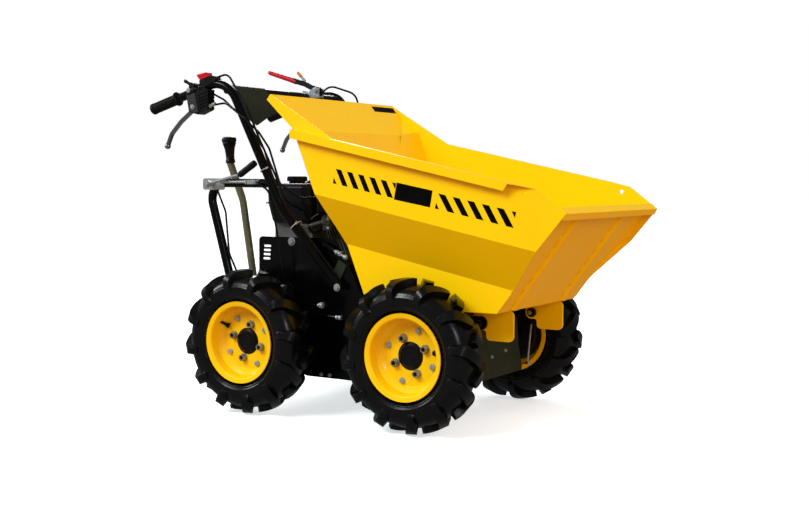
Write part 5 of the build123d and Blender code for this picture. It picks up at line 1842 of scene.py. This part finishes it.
# Width of the rounding on the edges of folded sheet, sawn bars and mouldings.
ROUNDED = {
    "skip_side_right": 0.9, "skip_side_left": 0.9, "skip_front_wall": 0.9, "skip_back_board": 0.9,
    "skip_ribs": 1.2, "pivot_brackets": 1.5, "side_panels": 0.8, "chassis_frame": 2.0, "engine_deck": 1.0,
    "front_plate": 0.8, "lever_housings": 0.8, "engine_switch": 1.0, "stop_button": 1.5,
    "lever_bracket": 0.6, "handlebar_cover": 0.6, "drive_lever_mount": 0.6,
}


def finish_of(name: str, slot: str) -> Finish:
    """Chooses a CAD node's finish.

    Args:
        name: the node's name.
        slot: its material slot in the record.

    Returns:
        Its finish.
    """
    if "cable" in name:
        return PAINT.jacket
    return FINISH_OF_NODE.get(name, FINISH_OF_SLOT[slot])


def dress_nodes() -> None:
    """Gives every CAD node its finish, and rounds the edges of those in sheet, bar and mouldings."""
    for entry in frame["record"]["subparts"]:
        name = entry["node"]
        piece = frame["nodes"][name]
        material = finish_of(name, entry["material_slot"]).build()
        if piece.data.materials:
            for slot in piece.material_slots:
                slot.material = material
        else:
            piece.data.materials.append(material)
        if name in ROUNDED:
            round_edges(piece, ROUNDED[name])
        LOG.info("dressed %s in %s", name, material.name)


# ---------------------------------------------------------------------------------------------
# Studio
# ---------------------------------------------------------------------------------------------


@dataclass
class Studio:
    """Light table, soft lights and the camera."""

    azimuth_deg: float = 31.670
    elevation_deg: float = 3.589
    roll_deg: float = 0.186
    distance_m: float = 3.457
    target_m: Point = (0.0489, -0.0192, 0.4410)
    lens_mm: float = 54.16
    sensor_mm: float = 36.0
    table_m: float = 60.0
    # Where the lights look, and how far off a broad light hangs, which doesn't change what it gives.
    lit_m: Point = (0.0, 0.0, 0.4)
    broad_off_m: float = 5.0
    # Strength and colour of the room's light from below and from above, and where it turns from one
    # to the other, as the height of a direction.
    room: Pair = (0.55, 0.44)
    room_colours: tuple[str, str] = ("#ffbc7c", "#fafdff")
    room_turn: Pair = (-0.3, 0.6)
    # Share of the room's light that shiny surfaces mirror, as black flags round the set would leave it.
    mirrored_share: float = 0.3
    # Direction that each broad light comes from, its strength, its spread in degrees, and its colour.
    broad_lights: tuple[tuple[Point, float, float, str], ...] = (
        ((-0.25, -0.66, 0.71), 2.3, 28.0, "#e9f4ff"),
        ((0.30, 0.80, 0.55), 0.75, 45.0, "#f2f8ff"),
        ((0.88, -0.30, 0.10), 1.5, 60.0, "#ffb870"),
    )
    # Place, size and power of each soft box, in metres and watts: they draw the highlights.
    soft_boxes: tuple[tuple[Point, float, float], ...] = (
        ((-1.9, -2.8, 2.6), 0.9, 34.0),
        ((-3.2, -0.9, 1.7), 0.8, 16.0),
        ((2.6, -2.0, 1.5), 0.7, 10.0),
        ((-2.0, 2.4, 2.4), 1.2, 40.0),
    )

    def camera(self) -> None:
        """Makes the camera."""
        az, el = math.radians(self.azimuth_deg), math.radians(self.elevation_deg)
        back = Vector((math.sin(az) * math.cos(el), -math.cos(az) * math.cos(el), math.sin(el)))
        data = bpy.data.cameras.new("camera")
        data.lens, data.sensor_width = self.lens_mm, self.sensor_mm
        eye = bpy.data.objects.new("camera", data)
        eye.location = Vector(self.target_m) + back * self.distance_m
        rolled = Matrix.Rotation(math.radians(self.roll_deg), 3, "Z")
        eye.rotation_euler = ((-back).to_track_quat("-Z", "Y").to_matrix() @ rolled).to_euler()
        bpy.context.scene.collection.objects.link(eye)
        bpy.context.scene.camera = eye

    def hang(self, name: str, kind: str, place: Point) -> bpy.types.Object:
        """Hangs one light that looks at the machine's middle.

        Args:
            name: the light's name.
            kind: Blender's kind of light.
            place: where it hangs, in metres.

        Returns:
            The light.
        """
        lamp = bpy.data.objects.new(name, bpy.data.lights.new(name, kind))
        lamp.location = place
        lamp.rotation_euler = (Vector(self.lit_m) - Vector(place)).to_track_quat("-Z", "Y").to_euler()
        bpy.context.scene.collection.objects.link(lamp)
        return lamp

    def lights(self) -> None:
        """Hangs the broad lights, which shiny surfaces don't mirror, and the soft boxes."""
        for i, (way, strength, spread, colour) in enumerate(self.broad_lights):
            lamp = self.hang(f"broad_light_{i}", "SUN", Vector(way) * self.broad_off_m + Vector(self.lit_m))
            lamp.visible_glossy = False
            lamp.data.energy, lamp.data.angle = strength, math.radians(spread)
            lamp.data.color = linear(colour)[:3]
        for i, (place, size, power) in enumerate(self.soft_boxes):
            lamp = self.hang(f"soft_box_{i}", "AREA", place)
            lamp.data.size, lamp.data.energy = size, power

    def room_light(self) -> None:
        """Fills the room with dim even light, and shows it as a white backdrop."""
        world = bpy.data.worlds.new("white_room")
        world.use_nodes = True
        tree = world.node_tree
        backdrop = tree.nodes["Background"]
        way = add_node(tree, "TexCoord").outputs["Generated"]
        height = add_node(tree, "SeparateXYZ", {}, {0: way}).outputs["Z"]
        start, end = self.room_turn
        turn = {"From Min": start, "From Max": end}
        rise = add_node(tree, "MapRange", turn, {"Value": height}).outputs["Result"]
        strengths = {"data_type": "FLOAT", 2: self.room[0], 3: self.room[1]}
        fill = add_node(tree, "Mix", strengths, {0: rise}).outputs[0]
        colours = {"data_type": "RGBA", 6: linear(self.room_colours[0]), 7: linear(self.room_colours[1])}
        tint = add_node(tree, "Mix", colours, {0: rise}).outputs[2]
        ray = add_node(tree, "LightPath").outputs
        glossy, seen = ray["Is Glossy Ray"], ray["Is Camera Ray"]
        dimming = {"operation": "MULTIPLY", 1: self.mirrored_share}
        flagged = add_node(tree, "Math", dimming, {0: fill}).outputs[0]
        lit = add_node(tree, "Mix", {"data_type": "FLOAT"}, {0: glossy, 2: fill, 3: flagged}).outputs[0]
        strength = add_node(tree, "Mix", {"data_type": "FLOAT", 3: 1.0}, {0: seen, 2: lit}).outputs[0]
        plain = add_node(tree, "Math", {"operation": "MAXIMUM"}, {0: seen, 1: glossy}).outputs[0]
        white = {"data_type": "RGBA", 7: (1.0, 1.0, 1.0, 1.0)}
        colour = add_node(tree, "Mix", white, {0: plain, 6: tint}).outputs[2]
        tree.links.new(strength, backdrop.inputs["Strength"])
        tree.links.new(colour, backdrop.inputs["Color"])
        bpy.context.scene.world = world
        bpy.context.scene.view_settings.view_transform = "Standard"

    def table(self) -> None:
        """Lays the light table, which throws no light back at the machine."""
        half = self.table_m / 2
        mesh = bpy.data.meshes.new("floor")
        mesh.from_pydata([(x, y, 0) for x, y in rectangle((-half, -half), (half, half))], [], [(0, 1, 2, 3)])
        mesh.materials.append(PAINT.table.build())
        ground = bpy.data.objects.new("floor", mesh)
        ground.visible_diffuse = False
        ground.visible_glossy = False
        bpy.context.scene.collection.objects.link(ground)

    def build(self) -> None:
        """Sets up the whole studio."""
        self.camera()
        self.lights()
        self.room_light()
        self.table()


def main() -> None:
    """Builds the looks of the whole machine in order, and reports each piece."""
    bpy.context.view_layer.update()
    Studio().build()
    dress_nodes()
    for assembly in (Wheels(), SkipTrim(), ChassisTrim(), EngineTrim(), HandlebarTrim(), LeverTrim()):
        for piece in assembly.build():
            LOG.info("%s: %s", type(assembly).__name__, piece.name)


if __name__ == "__main__":
    logging.basicConfig(level=logging.INFO, format="%(name)s: %(message)s")
    main()
